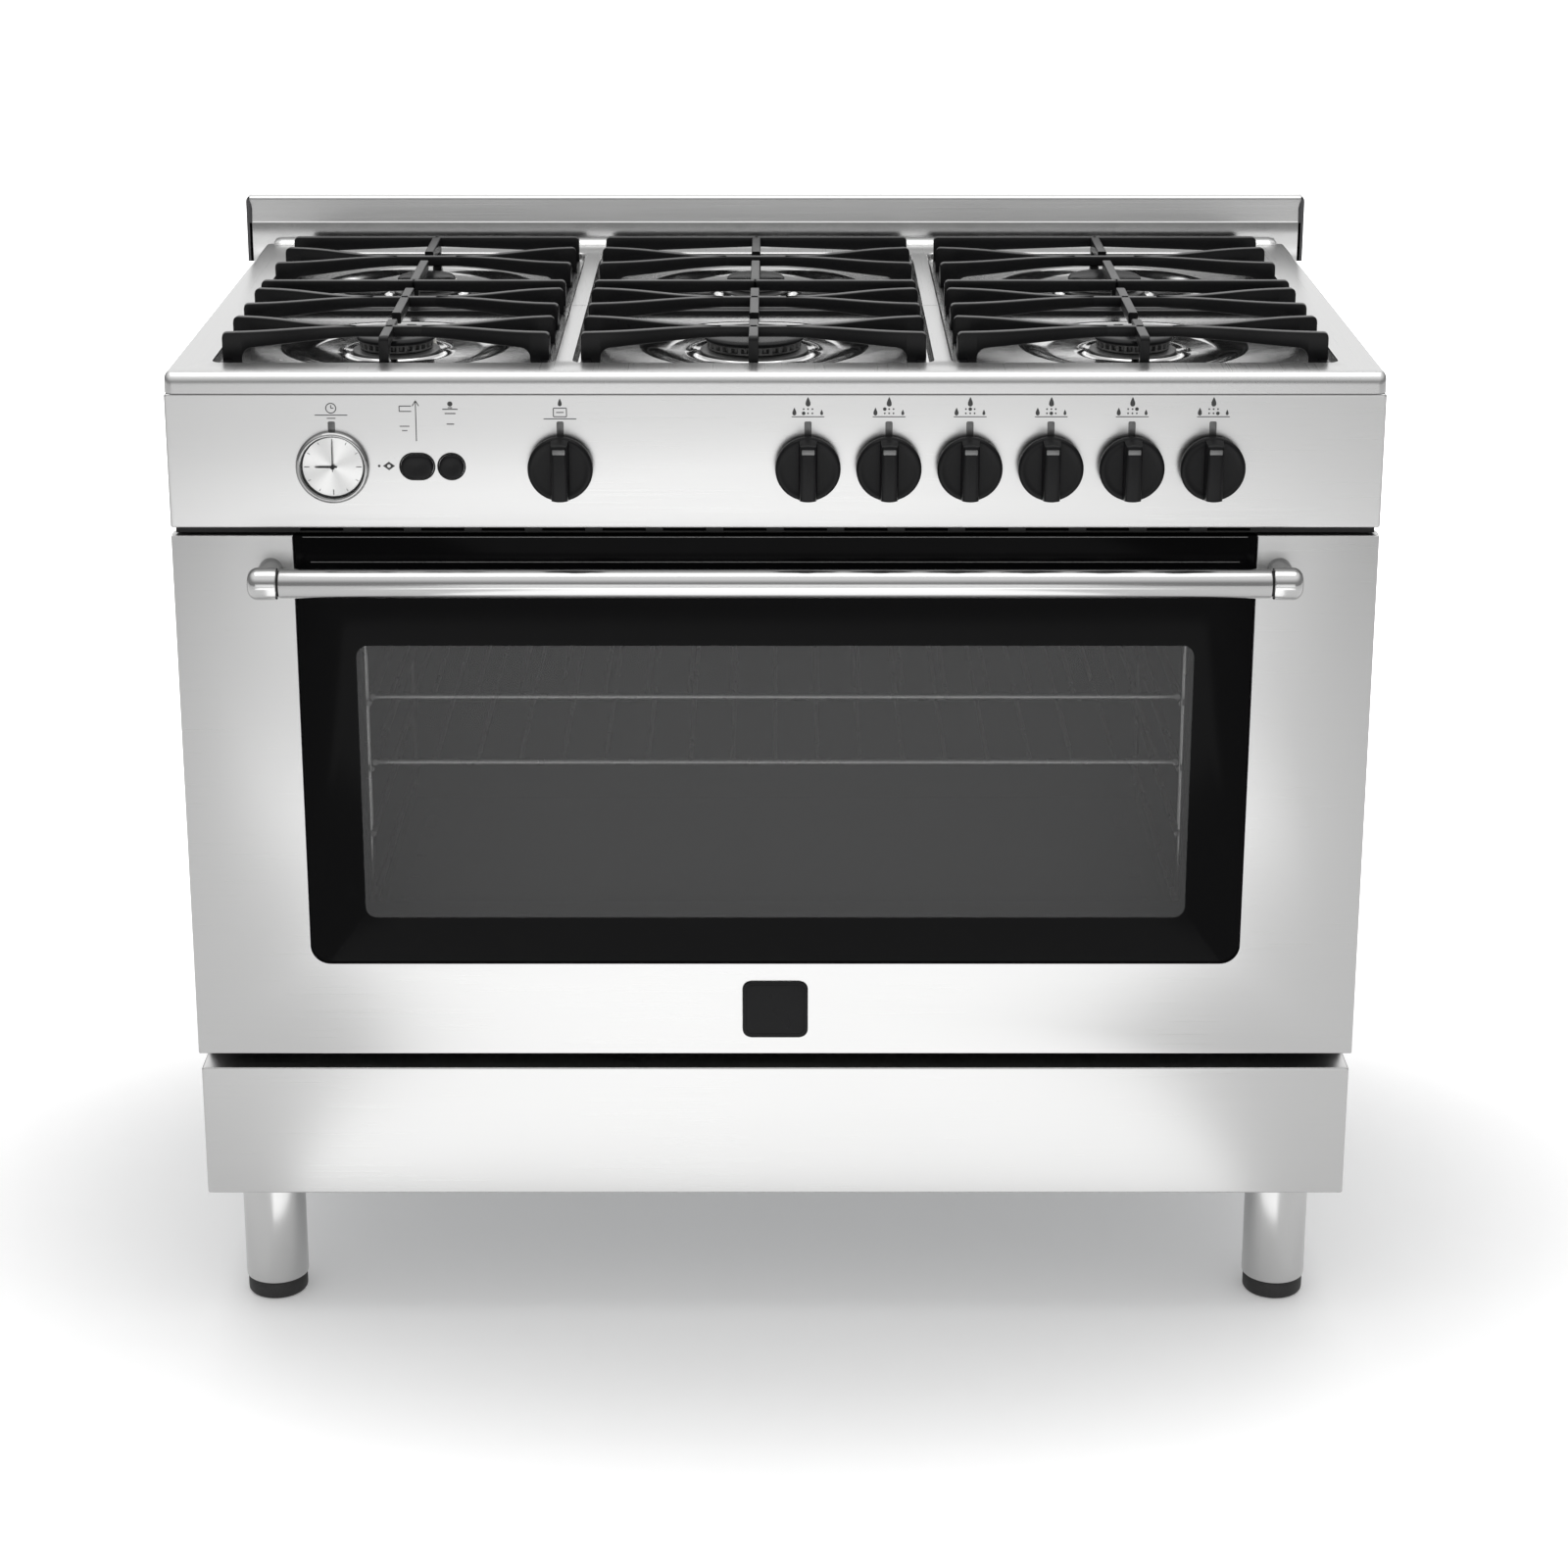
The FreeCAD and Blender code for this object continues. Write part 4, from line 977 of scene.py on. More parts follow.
class RANGE_OT_supports(bpy.types.Operator):
    """Cast the six pan supports: base frame, legs, bars drawn in to the burner, and fingers"""

    bl_idname = "gas_range.supports"
    bl_label = "Pan supports"

    def heights(self, length, place, low, high, leg, inner, deep, thin):
        """Top and underside of a bar at a distance from its legged end."""
        crown = mm(4.5)
        top = high - (crown - math.sqrt(max(crown ** 2 - (crown - place) ** 2, 0)) if place < crown else 0)
        if place <= leg:
            return top, low
        run = max(length - leg, mm(1))
        ease = min((place - leg) / run, 1)
        under = high - (deep + (thin - deep) * (ease ** 0.8))
        if place < leg + inner:
            rest = leg + inner - place
            under -= inner - math.sqrt(max(inner ** 2 - rest ** 2, 0))
        return top, max(under, low)

    def stations(self, length, leg, inner):
        """Distances along a bar, closer together round its corners."""
        places = [0, mm(0.4), mm(1), mm(2), mm(3), mm(4.5), leg - mm(0.01), leg + mm(0.05)]
        places += [leg + inner * (1 - cosine) for cosine, _ in swing(15, 90, 15)]
        start = leg + inner
        places += [start + (length - start) * step / 14 for step in range(1, 15)]
        return places

    def arm(self, shape, start, end, low, high, width, leg=mm(18), inner=mm(9), deep=mm(16), thin=mm(10),
            sway=0.0):
        """A bar from its leg at start to end, bending off its straight line by a share of the side step."""
        run, step = end[0] - start[0], end[1] - start[1]
        length = math.hypot(run, step)
        path, tops, bottoms = [], [], []
        for place in self.stations(length, leg, inner):
            share = place / length
            shift = share + sway * math.sin(2 * math.pi * share) / (2 * math.pi)
            path.append((start[0] + run * share, start[1] + step * shift))
            top, under = self.heights(length, place, low, high, leg, inner, deep, thin)
            tops.append(top)
            bottoms.append(under)
        shape.bar(path, tops, bottoms, width, cast_iron())

    def support(self, column, row):
        name = "grate_%s_%s" % (column, row)
        low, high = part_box(name)
        width = sizes().bar_width
        shape = Shape(name + "_casting")
        iron = cast_iron()
        depth = high.y - low.y
        plan = SUPPORT_PLANS[row]
        centre = (low.x + high.x) / 2
        half = width / 2
        ring = rounded_outline((low.x + half, high.x - half), (low.y + half, high.y - half), mm(7))
        ring += [ring[0]]
        count = len(ring)
        base = low.z + mm(4)
        shape.bar(ring, [base] * count, [low.z] * count, width, iron, mm(1.2))
        levels = [low.y + depth * share for share in plan["legs"]]
        reach = mm(34)
        for number in plan["straight"]:
            for side, wall in ((1, low.x), (-1, high.x)):
                self.arm(shape, (wall, levels[number]), (centre + side * mm(1), levels[number]), low.z, high.z, width)
        for first, second, share in plan["crosses"]:
            neck = low.y + depth * share
            for side, wall in ((-1, low.x), (1, high.x)):
                for level in (levels[first], levels[second]):
                    self.arm(shape, (wall, level), (centre + side * (reach - mm(3)), neck), low.z, high.z, width,
                             sway=-0.55)
            span = [centre - reach + 2 * reach * step / 10 for step in range(11)]
            shape.bar([(x, neck) for x in span], [high.z] * 11, [high.z - mm(10)] * 11, width, iron)
        for near, far, near_leg, far_leg in plan["fingers"]:
            start, end = (centre, low.y + depth * near), (centre, low.y + depth * far)
            if far_leg:
                start, end = end, start
            if near_leg or far_leg:
                self.arm(shape, start, end, low.z, high.z, width, leg=mm(9), inner=mm(8), deep=mm(14), thin=mm(10))
            else:
                span = [start[1] + (end[1] - start[1]) * step / 12 for step in range(13)]
                shape.bar([(centre, y) for y in span], [high.z] * 13, [high.z - mm(11)] * 13, width, iron)
        shape.done(name, "cast_iron", [name], sharp=50)

    def execute(self, context):
        for column in COLUMNS:
            for row in ROWS:
                self.support(column, row)
        return {"FINISHED"}


# ------------------------------------------------------------ controls


def flat_mark(shape, points, y, material):
    """A printed patch on the fascia from plane points."""
    shape.face([shape.mesh.verts.new(point) for point in in_front(points, y)], material)


def flame(centre, tall):
    """The outline of a small flame."""
    x, z = centre
    wide = tall * 0.36
    points = []
    for step in range(12):
        angle = math.radians(-90 + 360 * step / 12)
        lift = (1 + math.sin(angle)) / 2
        squeeze = 1 - 0.75 * lift ** 1.6
        points.append((x + wide * math.cos(angle) * squeeze, z + tall * 0.5 * math.sin(angle) * (1 + 0.25 * lift)))
    return points


def stroke(start, end, thick):
    """A printed line as a thin rectangle."""
    along = Vector((end[0] - start[0], end[1] - start[1]))
    side = Vector((-along.y, along.x)).normalized() * thick / 2
    return [(start[0] - side.x, start[1] - side.y), (end[0] - side.x, end[1] - side.y),
            (end[0] + side.x, end[1] + side.y), (start[0] + side.x, start[1] + side.y)]


def line_marks(shape, corner, y, lines, thick, material):
    """Printed lines between pairs of millimetre places off a point of the fascia."""
    for ends in lines:
        start, end = [(corner[0] + mm(u), corner[1] + mm(v)) for u, v in ends]
        flat_mark(shape, stroke(start, end, thick), y, material)


class RANGE_OT_fascia(bpy.types.Operator):
    """Fold the control fascia and print its small generic marks, with an index tab over each knob"""

    bl_idname = "gas_range.fascia"
    bl_label = "Control fascia"

    def execute(self, context):
        low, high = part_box("control_panel")
        panel = Shape("fascia_panel")
        tray(panel, low, high, sizes().panel_edge, brushed())
        panel.done("chassis", "brushed", ["control_panel"], sharp=25)
        marks, tabs = Shape("fascia_marks"), Shape("index_tabs")
        ink = printed_ink()
        y = low.y - mm(0.12)
        base = middle("oven_knob").z
        grid = [(column, row) for row in (1, 0) for column in (-1, 0, 1)]
        order = ((-1, 0), (-1, 1), (0, 1), (0, 0), (1, 1), (1, 0))
        for number, knob in enumerate(BURNER_KNOBS):
            x = middle(knob).x
            for column, row in grid:
                spot = (x + mm(4) * column, base + mm(50.2) + mm(4) * row)
                big = order[number] == (column, row)
                flat_mark(marks, circle(spot, mm(1.7) if big else mm(0.85), 12), y, ink)
            flat_mark(marks, flame((x, base + mm(60.5)), mm(8)), y, ink)
            flat_mark(marks, stroke((x - mm(15), base + mm(47)), (x + mm(15), base + mm(47)), mm(0.8)), y, ink)
            flat_mark(marks, flame((x - mm(12.5), base + mm(51.4)), mm(6.5)), y, ink)
            flat_mark(marks, flame((x + mm(12.5), base + mm(50.8)), mm(4.6)), y, ink)
        x = middle("oven_knob").x
        flat_mark(marks, flame((x, base + mm(60)), mm(6.5)), y, ink)
        oven_sign = (((-6, 47), (6, 47)), ((-6, 47), (-6, 55)), ((6, 47), (6, 55)), ((-6, 55), (6, 55)),
                     ((-3.5, 51), (3.5, 51)), ((-15, 45), (15, 45)))
        line_marks(marks, (x, base), y, oven_sign, mm(0.85), ink)
        x = middle("clock_case").x
        ring = circle((x, base + mm(55)), mm(4.6), 24)
        for first, second in zip(ring, ring[1:] + ring[:1]):
            flat_mark(marks, stroke(first, second, mm(0.9)), y, ink)
        clock_sign = (((0, 55), (0, 58)), ((0, 55), (2.4, 55)), ((-15, 48.5), (15, 48.5)), ((-4, 45.5), (4, 45.5)))
        line_marks(marks, (x, base), y, clock_sign, mm(0.85), ink)
        x = middle("oval_button").x
        arrow_sign = (((0, 24), (0, 62)), ((-3, 57), (0, 62)), ((3, 57), (0, 62)), ((-15, 52), (-4, 52)),
                      ((-15, 57), (-4, 57)), ((-15, 52), (-15, 57)), ((-15, 38), (-6, 38)), ((-13, 34), (-8, 34)))
        line_marks(marks, (x, base), y, arrow_sign, mm(0.85), ink)
        x = middle("round_button").x
        flat_mark(marks, circle((x, base + mm(59)), mm(2.4), 14), y, ink)
        lamp_sign = (((-7, 54), (7, 54)), ((-5, 50), (5, 50)), ((-3.5, 40), (3.5, 40)), ((-2, 55.5), (2, 55.5)))
        line_marks(marks, (x, base), y, lamp_sign, mm(0.95), ink)
        spot = (middle("oval_button").x - mm(26), base + mm(0.5))
        flat_mark(marks, [(spot[0] - mm(5.5), spot[1]), (spot[0], spot[1] - mm(4)), (spot[0] + mm(5.5), spot[1]),
                          (spot[0], spot[1] + mm(4))], y, ink)
        flat_mark(marks, circle((spot[0], spot[1]), mm(1.6), 12), y - mm(0.05), brushed())
        flat_mark(marks, circle((spot[0] - mm(9), spot[1]), mm(1.2), 12), y, ink)
        for node in BURNER_KNOBS + ("oven_knob", "clock_case"):
            at = middle(node).x
            outline = rounded_outline((at - mm(3.3), at + mm(3.3)), (base + mm(26), base + mm(42.5)), mm(1.4), 4)
            tabs.prism(outline, low.y - mm(0.5), low.y + mm(0.5), tab_grey(), mm(0.3))
        marks.done("chassis", "black_plastic")
        tabs.done("chassis", "polished", sharp=30)
        return {"FINISHED"}


class RANGE_OT_clock(bpy.types.Operator):
    """Turn the clock's ring, spin its dial, and fit its marks, glass and hands"""

    bl_idname = "gas_range.clock"
    bl_label = "Clock"

    def execute(self, context):
        low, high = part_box("clock_case")
        centre = (low.x + high.x) / 2, high.y - mm(2.4), (low.z + high.z) / 2
        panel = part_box("control_panel")[0].y
        radius = (high.x - low.x) / 2
        shape = Shape("clock_ring_and_dial")
        deep = panel - low.y
        at = (centre[0], panel, centre[2])
        ring = [(radius, -mm(0.5))]
        ring += [(radius - mm(inset), deep * share) for inset, share in
                 ((0, 0.45), (0.3, 0.62), (1.0, 0.8), (2.0, 0.94), (3.0, 1), (3.7, 0.98), (4.2, 0.88), (4.5, 0.6))]
        ring.append((radius - mm(4.6), mm(1.0)))
        shape.turned(ring, at, "-y", painted_shade_plating(), 72)
        # Painted shade: a flat dark ring between the bezel and the dial stands in for the shade of the groove there.
        shape.turned(profile_off(radius, 0, ((-4.55, 1.1), (-6.0, 1.1))), at, "-y", dark_joint_and_painted_shade(), 72)
        dial = profile_off(radius, 0, ((-6.0, 1.1), (-6.3, 1.5))) + [(radius * 0.5, mm(1.55)), (0, mm(1.55))]
        shape.turned(dial, at, "-y", dial_face(), 72)
        front = panel - mm(1.75)
        for number in range(12):
            angle = math.radians(30 * number)
            long = mm(5) if number % 3 == 0 else mm(2.6)
            outer = radius - mm(7.5)
            start, end = [(at[0] + reach * math.sin(angle), at[2] + reach * math.cos(angle))
                          for reach in (outer - long, outer)]
            flat_mark(shape, stroke(start, end, mm(0.6) if number % 3 else mm(0.9)), front, printed_line())
        shape.done("chassis", "polished", ["clock_case"], sharp=40)
        lens = Shape("clock_glass")
        dome = profile_off(radius, deep, ((-4.4, -1.2), (-8, -0.7)))
        dome += [(radius * 0.5, deep - mm(0.25)), (0, deep - mm(0.1))]
        lens.turned(dome, at, "-y", clear_glass(), 64)
        lens.done("chassis", "clear_glass")
        for node, long, wide, direction in (("hour_hand", mm(17), mm(0.8), -90),
                                            ("minute_hand", mm(24), mm(0.5), 0)):
            near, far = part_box(node)
            hand = Shape(node + "_blade")
            y = near.y + mm(0.1)
            turn = math.radians(direction)
            outward = Vector((math.sin(turn), math.cos(turn)))
            side = Vector((outward.y, -outward.x))
            spine = [(-mm(4), wide * 0.7), (0, wide), (long * 0.75, wide * 0.8), (long - mm(1.5), wide * 0.55),
                     (long, 0.0)]
            outline = [outward * place + side * half for place, half in spine]
            outline += [outward * place - side * half for place, half in reversed(spine[:-1])]
            points = [(at[0] + point.x, at[2] + point.y) for point in outline]
            hand.prism(points, y, y + mm(0.5), satin_plastic())
            hub = [(0, mm(0.2)), (mm(1.6), mm(0.15)), (mm(2.0), -mm(0.3)), (mm(2.0), -(far.y - near.y))]
            hand.turned(hub, (at[0], near.y + mm(0.2), at[2]), "-y", satin_plastic(), 24)
            hand.done(node, "hands", [node], sharp=35)
        return {"FINISHED"}


class RANGE_OT_buttons(bpy.types.Operator):
    """Mould the oval and the round push button, each in a dark ring painted as the shade of its recess"""

    bl_idname = "gas_range.buttons"
    bl_label = "Buttons"

    def execute(self, context):
        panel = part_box("control_panel")[0].y
        rings = Shape("button_rings")
        for node in ("oval_button", "round_button"):
            low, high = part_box(node)
            radius = (high.z - low.z) / 2
            shape = Shape(node + "_cap")
            loops = []
            for inset, rise in ((0, 0.0), (0, 0.45), (0.3, 0.7), (0.9, 0.88), (1.8, 0.97), (3.2, 1.0)):
                outline = panel_outline(low, high, mm(inset), radius - mm(inset) - mm(0.05), 12)
                loops.append(in_front(outline, panel + (low.y - panel) * rise if rise else high.y))
            shape.loft(loops, satin_plastic())
            inner = loops[-1]
            centre = middle(node)
            hollow = []
            for share in (1.0, 0.8, 0.55, 0.3, 0.1):
                hollow.append([(centre.x + (x - centre.x) * share, y + mm(0.9) * (1 - share),
                                centre.z + (z - centre.z) * share) for x, y, z in inner])
            shape.loft(hollow, satin_plastic(), last=True)
            shape.done(node, "black_plastic", [node], sharp=50)
            # Painted shade: the dark collar round each button stands in for the shade of a recess round it.
            collar = []
            for outset, proud in ((0.2, 0.0), (0.3, 0.7), (0.9, 1.0), (1.5, 0.7), (1.7, 0.0)):
                outline = panel_outline(low, high, -mm(outset), radius + mm(outset) - mm(0.05), 12)
                collar.append(in_front(outline, panel - mm(proud)))
            rings.loft(collar, dark_joint_and_painted_shade())
        rings.done("chassis", "black_plastic", sharp=60)
        return {"FINISHED"}


class RANGE_OT_knobs(bpy.types.Operator):
    """Mould the seven knobs: a low disc with a raised bar grip and a pale tip"""

    bl_idname = "gas_range.knobs"
    bl_label = "Knobs"

    def knob(self, node):
        low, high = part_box(node)
        centre = ((low.x + high.x) / 2, high.y, (low.z + high.z) / 2)
        radius = (high.x - low.x) / 2
        tip = (high.y - low.y) * 1000
        shape = Shape(node + "_moulding")
        plastic = satin_plastic()
        rim = ((-1, 0), (-0.2, 0.6), (0, 1.6), (0, 6.2), (-0.4, 7.6), (-1.2, 8.5), (-2.4, 9.0), (-4, 9.1),
               (-5.2, 8.7), (-9, 8.4))
        disc = [(mm(5), 0)] + profile_off(radius, 0, rim) + [(0, mm(8.4))]
        shape.turned(disc, centre, "-y", plastic, 72)
        half = sizes().grip_width / 2
        reach = radius - mm(1.2)
        loops = []
        for rise, inset in ((7.5, -0.9), (8.4, -0.6), (9.4, -0.15), (11, 0), (tip - 4, 0.5), (tip - 2.2, 0.8),
                            (tip - 1.0, 1.5), (tip - 0.3, 2.5), (tip, 3.8)):
            trim = mm(inset)
            taper = mm(max(rise - 11, 0)) * 0.10
            wide = half - trim
            tall = reach - trim - taper
            curve = math.sqrt(max(reach ** 2 - half ** 2, 0)) / reach
            outline = []
            for side in (-1, 1):
                for step in range(9):
                    across = side * (1 - step / 4)
                    bulge = tall * curve + (1 - across ** 2) * (1 - curve) * tall
                    outline.append((centre[0] + wide * across, centre[2] + side * bulge))
            loops.append(in_front(outline, centre[1] - mm(rise)))
        shape.loft(loops, plastic, last=True)
        pointer = rounded_outline((centre[0] - half + mm(2.2), centre[0] + half - mm(2.2)),
                                  (centre[2] + reach - mm(10.6), centre[2] + reach - mm(5.8)), mm(0.8), 4)
        shape.prism(pointer, low.y - mm(0.02), low.y + mm(1), tab_grey(), mm(0.2))
        shape.done(node, "black_plastic", [node], sharp=38)

    def execute(self, context):
        for node in BURNER_KNOBS + ("oven_knob",):
            self.knob(node)
        return {"FINISHED"}


# ------------------------------------------------------------ door and drawer


class RANGE_OT_door(bpy.types.Operator):
    """Fold the door's steel surround, and fit the black glass with its window and the plain badge plate"""

    bl_idname = "gas_range.door"
    bl_label = "Oven door"

    def execute(self, context):
        low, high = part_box("door_frame")
        glass_low, glass_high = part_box("door_outer_glass")
        pane_low, pane_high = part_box("door_inner_glass")
        gap, corner = mm(0.5), mm(19)
        left, right, sill = glass_low.x - gap, glass_high.x + gap, glass_low.z - gap
        outline = [(low.x, high.z)] + arc((low.x + mm(1.5), low.z + mm(1.5)), mm(1.5), 180, 270, 4)
        outline += arc((high.x - mm(1.5), low.z + mm(1.5)), mm(1.5), 270, 360, 4)
        outline += [(high.x, high.z), (right, high.z), (right, sill + corner)]
        outline += arc((right - corner, sill + corner), corner, 0, -90, 10)[1:]
        outline += arc((left + corner, sill + corner), corner, -90, -180, 10) + [(left, high.z)]
        surround = Shape("door_surround")
        surround.prism(outline, low.y, high.y, brushed(), sizes().panel_edge * 0.8, 3)
        surround.done("oven_door", "brushed", ["door_frame"], sharp=30)
        pane = Shape("door_glass")
        border = mm(12)
        window = ((pane_low.x + border, pane_high.x - border), (pane_low.z + border, pane_high.z - border))
        loops = []
        for inset, back in ((0, 3.9), (0, 1.0), (0.3, 0.3), (1.0, 0)):
            loops.append(in_front(sill_outline((glass_low.x + mm(inset), glass_high.x - mm(inset)),
                                               (glass_low.z + mm(inset), glass_high.z - mm(inset)),
                                               mm(18.5) - mm(inset), 10), glass_low.y + mm(back)))
        pane.loft(loops, border_glass())
        hole = in_front(rounded_outline(window[0], window[1], mm(11), 8), glass_low.y)
        pane.fill([loops[-1], hole], border_glass())
        back_hole = [(x, glass_high.y - mm(0.1), z) for x, y, z in hole]
        pane.fill([loops[0], back_hole], border_glass())
        view = [(x, y + mm(0.15), z) for x, y, z in hole]
        pane.fill([view], window_glass())
        for height, long in ((glass_high.z - mm(1.5), 1.0), (glass_high.z - mm(25.5), 0.985)):
            half = (glass_high.x - mm(8)) * long
            flat_mark(pane, stroke((-half, height), (half, height), mm(0.7)), glass_low.y - mm(0.05), printed_line())
        for side in (-1, 1):
            x = side * (abs(window[0][0]) - mm(10))
            upright = stroke((x, window[1][1] - mm(8)), (x, window[1][0] + mm(95)), mm(0.5))
            flat_mark(pane, upright, glass_low.y - mm(0.02), printed_line())
        pane.done("oven_door", "black_glass", ["door_outer_glass"], sharp=30)
        badge = Shape("badge_plate")
        centre = (low.z + sill) / 2
        plate = rounded_outline((-mm(31.5), mm(31.5)), (centre - mm(29), centre + mm(29)), mm(8), 8)
        badge.prism(plate, low.y - mm(1.8), low.y + mm(0.5), black_enamel(), mm(0.9), 3)
        rim = []
        for inset, proud in ((3.2, 1.8), (3.5, 2.05), (3.9, 2.05), (4.2, 1.8)):
            rim.append(in_front(rounded_outline((-mm(31.5 - inset), mm(31.5 - inset)),
                                                (centre - mm(29 - inset), centre + mm(29 - inset)),
                                                mm(8 - inset * 0.6), 8), low.y - mm(proud)))
        badge.loft(rim, black_enamel())
        badge.done("oven_door", "black_enamel", sharp=30)
        return {"FINISHED"}


class RANGE_OT_handle(bpy.types.Operator):
    """Draw the tubular handle and its two rounded ends"""

    bl_idname = "gas_range.handle"
    bl_label = "Door handle"

    def execute(self, context):
        low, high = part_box("handle_bar")
        y, z = (low.y + high.y) / 2, (low.z + high.z) / 2
        radius = (high.z - low.z) / 2
        bar = Shape("handle_tube")
        tube = profile_off(radius, low.x, ((-1.4, 0), (-0.3, 0.3), (0, 1.2)))
        tube += profile_off(radius, high.x, ((0, -1.2), (-0.3, -0.3), (-1.4, 0)))
        bar.turned(tube, (0, y, z), "x", satin_steel(), 64)
        bar.done("oven_door", "brushed", ["handle_bar"], sharp=50)
        ends = Shape("handle_elbows")
        end_low, end_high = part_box("handle_ends")
        wide = (end_high.z - end_low.z) / 2 - mm(1)
        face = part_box("door_frame")[0].y
        for side, tip in ((-1, end_low.x), (1, end_high.x)):
            start = high.x * side
            span = abs(tip) - abs(start)
            neck, dome = radius - mm(1.8), mm(9)
            ends.turned([(neck, 0), (neck, side * mm(1.8))], (start, y, z), "x", dark_joint_and_painted_shade(), 48)
            cap = [(neck, mm(1.6))] + profile_off(wide, 0, ((-1.2, 1.7), (-0.3, 2.1), (0, 3.0)))
            cap.append((wide, span - dome))
            cap += [(wide - dome * (1 - cosine), span - dome + dome * sine) for cosine, sine in swing(12, 90, 13)]
            cap += [(wide - dome, span), (0, span)]
            ends.turned([(reach, side * place) for reach, place in cap], (start, y, z), "x", satin_steel(), 56)
            post_x = start + side * span / 2
            post = mm(11.4)
            reach = face - y
            ends.turned([(post, 0), (post, -reach + mm(1.2)), (post - mm(0.3), -reach + mm(0.4)),
                         (post - mm(1.0), -reach)], (post_x, y, z), "-y", satin_steel(), 48)
        ends.done("oven_door", "polished", ["handle_ends"], sharp=50)
        return {"FINISHED"}


class RANGE_OT_drawer(bpy.types.Operator):
    """Fold the drawer's front"""

    bl_idname = "gas_range.drawer"
    bl_label = "Drawer front"

    def execute(self, context):
        low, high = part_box("drawer_front")
        shape = Shape("drawer_panel")
        tray(shape, low, high, sizes().panel_edge, brushed())
        wall = mm(1.2)
        inner = [in_front(panel_outline(low, high, wall, mm(1.5)), y) for y in (high.y, low.y + mm(2.2))]
        shape.loft([in_front(panel_outline(low, high, 0, mm(2)), high.y)] + inner, galvanised(), last=True)
        shape.done("storage_drawer", "brushed", ["drawer_front"], sharp=25)
        return {"FINISHED"}


# ------------------------------------------------------------ stance and fixings


class RANGE_OT_legs(bpy.types.Operator):
    """Spin the four round legs and their adjustable black feet"""

    bl_idname = "gas_range.legs"
    bl_label = "Legs and feet"

    def execute(self, context):
        legs = Shape("leg_tubes")
        low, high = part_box("legs")
        for side in ("left", "right"):
            for row in ROWS:
                node = "foot_%s_%s" % (side, row)
                near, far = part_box(node)
                centre = (near + far) / 2
                radius = high.x - abs(centre.x)
                tube = profile_off(radius, low.z, ((-4, 0.2), (-1.0, 0), (-0.2, 0.5), (0, 1.4)))
                tube += profile_off(radius, high.z, ((0, -5), (-0.4, -4), (-0.4, 0)))
                legs.turned(tube, (centre.x, centre.y, 0), "z", upright_steel(), 64)
                foot = Shape(node + "_pad")
                wide = (far.x - near.x) / 2
                rim = low.z - mm(0.6)
                pad = [(0, near.z)] + profile_off(wide, near.z, ((-3, 0), (-1.2, 0.5), (-0.2, 2), (0, 4)))
                pad += profile_off(wide, rim, ((0, -4), (-0.8, -2.6), (-0.9, -1.6), (-0.2, -1), (-0.2, -0.3),
                                               (-1.2, 0)))
                pad += [(mm(9), rim), (mm(9), min(far.z, rim + mm(8)))]
                foot.turned(pad, (centre.x, centre.y, 0), "z", foot_plastic(), 64)
                if far.z > rim + mm(9):
                    thread = [(mm(5), rim)]
                    edges = 20
                    for number in range(edges):
                        height = rim + (far.z - rim) * (number + 1) / (edges + 1)
                        thread.append((mm(5) if number % 2 else mm(4.3), height))
                    thread.append((0, far.z))
                    foot.turned(thread, (centre.x, centre.y, 0), "z", rod_steel(), 24)
                foot.done(node, "foot_plastic", [node], sharp=40)
        legs.done("chassis", "brushed", ["legs"], sharp=40)
        return {"FINISHED"}


class RANGE_OT_fixings(bpy.types.Operator):
    """Set the screws and louvres of the sides and back"""

    bl_idname = "gas_range.fixings"
    bl_label = "Screws and louvres"

    def execute(self, context):
        shape = Shape("body_fixings")
        low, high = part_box("back_panel")
        for side in (-1, 1):
            panel_low, panel_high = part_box("side_panel_left" if side < 0 else "side_panel_right")
            outer = panel_low.x if side < 0 else panel_high.x
            for share_y in (0.06, 0.94):
                for share_z in (0.08, 0.36, 0.64, 0.92):
                    y = panel_low.y + (panel_high.y - panel_low.y) * share_y
                    z = panel_low.z + (panel_high.z - panel_low.z) * share_z
                    screw(shape, "x", mm(3.0), (outer - side * mm(2.0), y, z), side < 0)
        for column in (-1, 1):
            for row in range(7):
                x, z = column * mm(250), low.z + (high.z - low.z) * 0.62 + mm(16) * row
                lip = []
                for share in (0, 0.08, 0.2, 0.8, 0.92, 1):
                    swell = mm(3.2) * math.sin(math.pi * share) ** 0.4 if 0 < share < 1 else 0
                    place = x - mm(60) + mm(120) * share
                    lip.append([(place, high.y, z), (place, high.y + swell * 0.7, z - mm(1.5)),
                                (place, high.y + swell, z - mm(4)), (place, high.y + swell * 0.9, z - mm(5.5))])
                shape.loft(lip, galvanised(), closed=False)
                # Painted shade: a flat dark strip under each louvre lip stands in for the shade of the opening below
                # it.
                flat_mark(shape, [(x - mm(54), z - mm(5.6)), (x + mm(54), z - mm(5.6)), (x + mm(54), z - mm(7.2)),
                                  (x - mm(54), z - mm(7.2))], high.y + mm(0.1), dark_joint_and_painted_shade())
        shape.done("chassis", "galvanised", sharp=35)
        return {"FINISHED"}


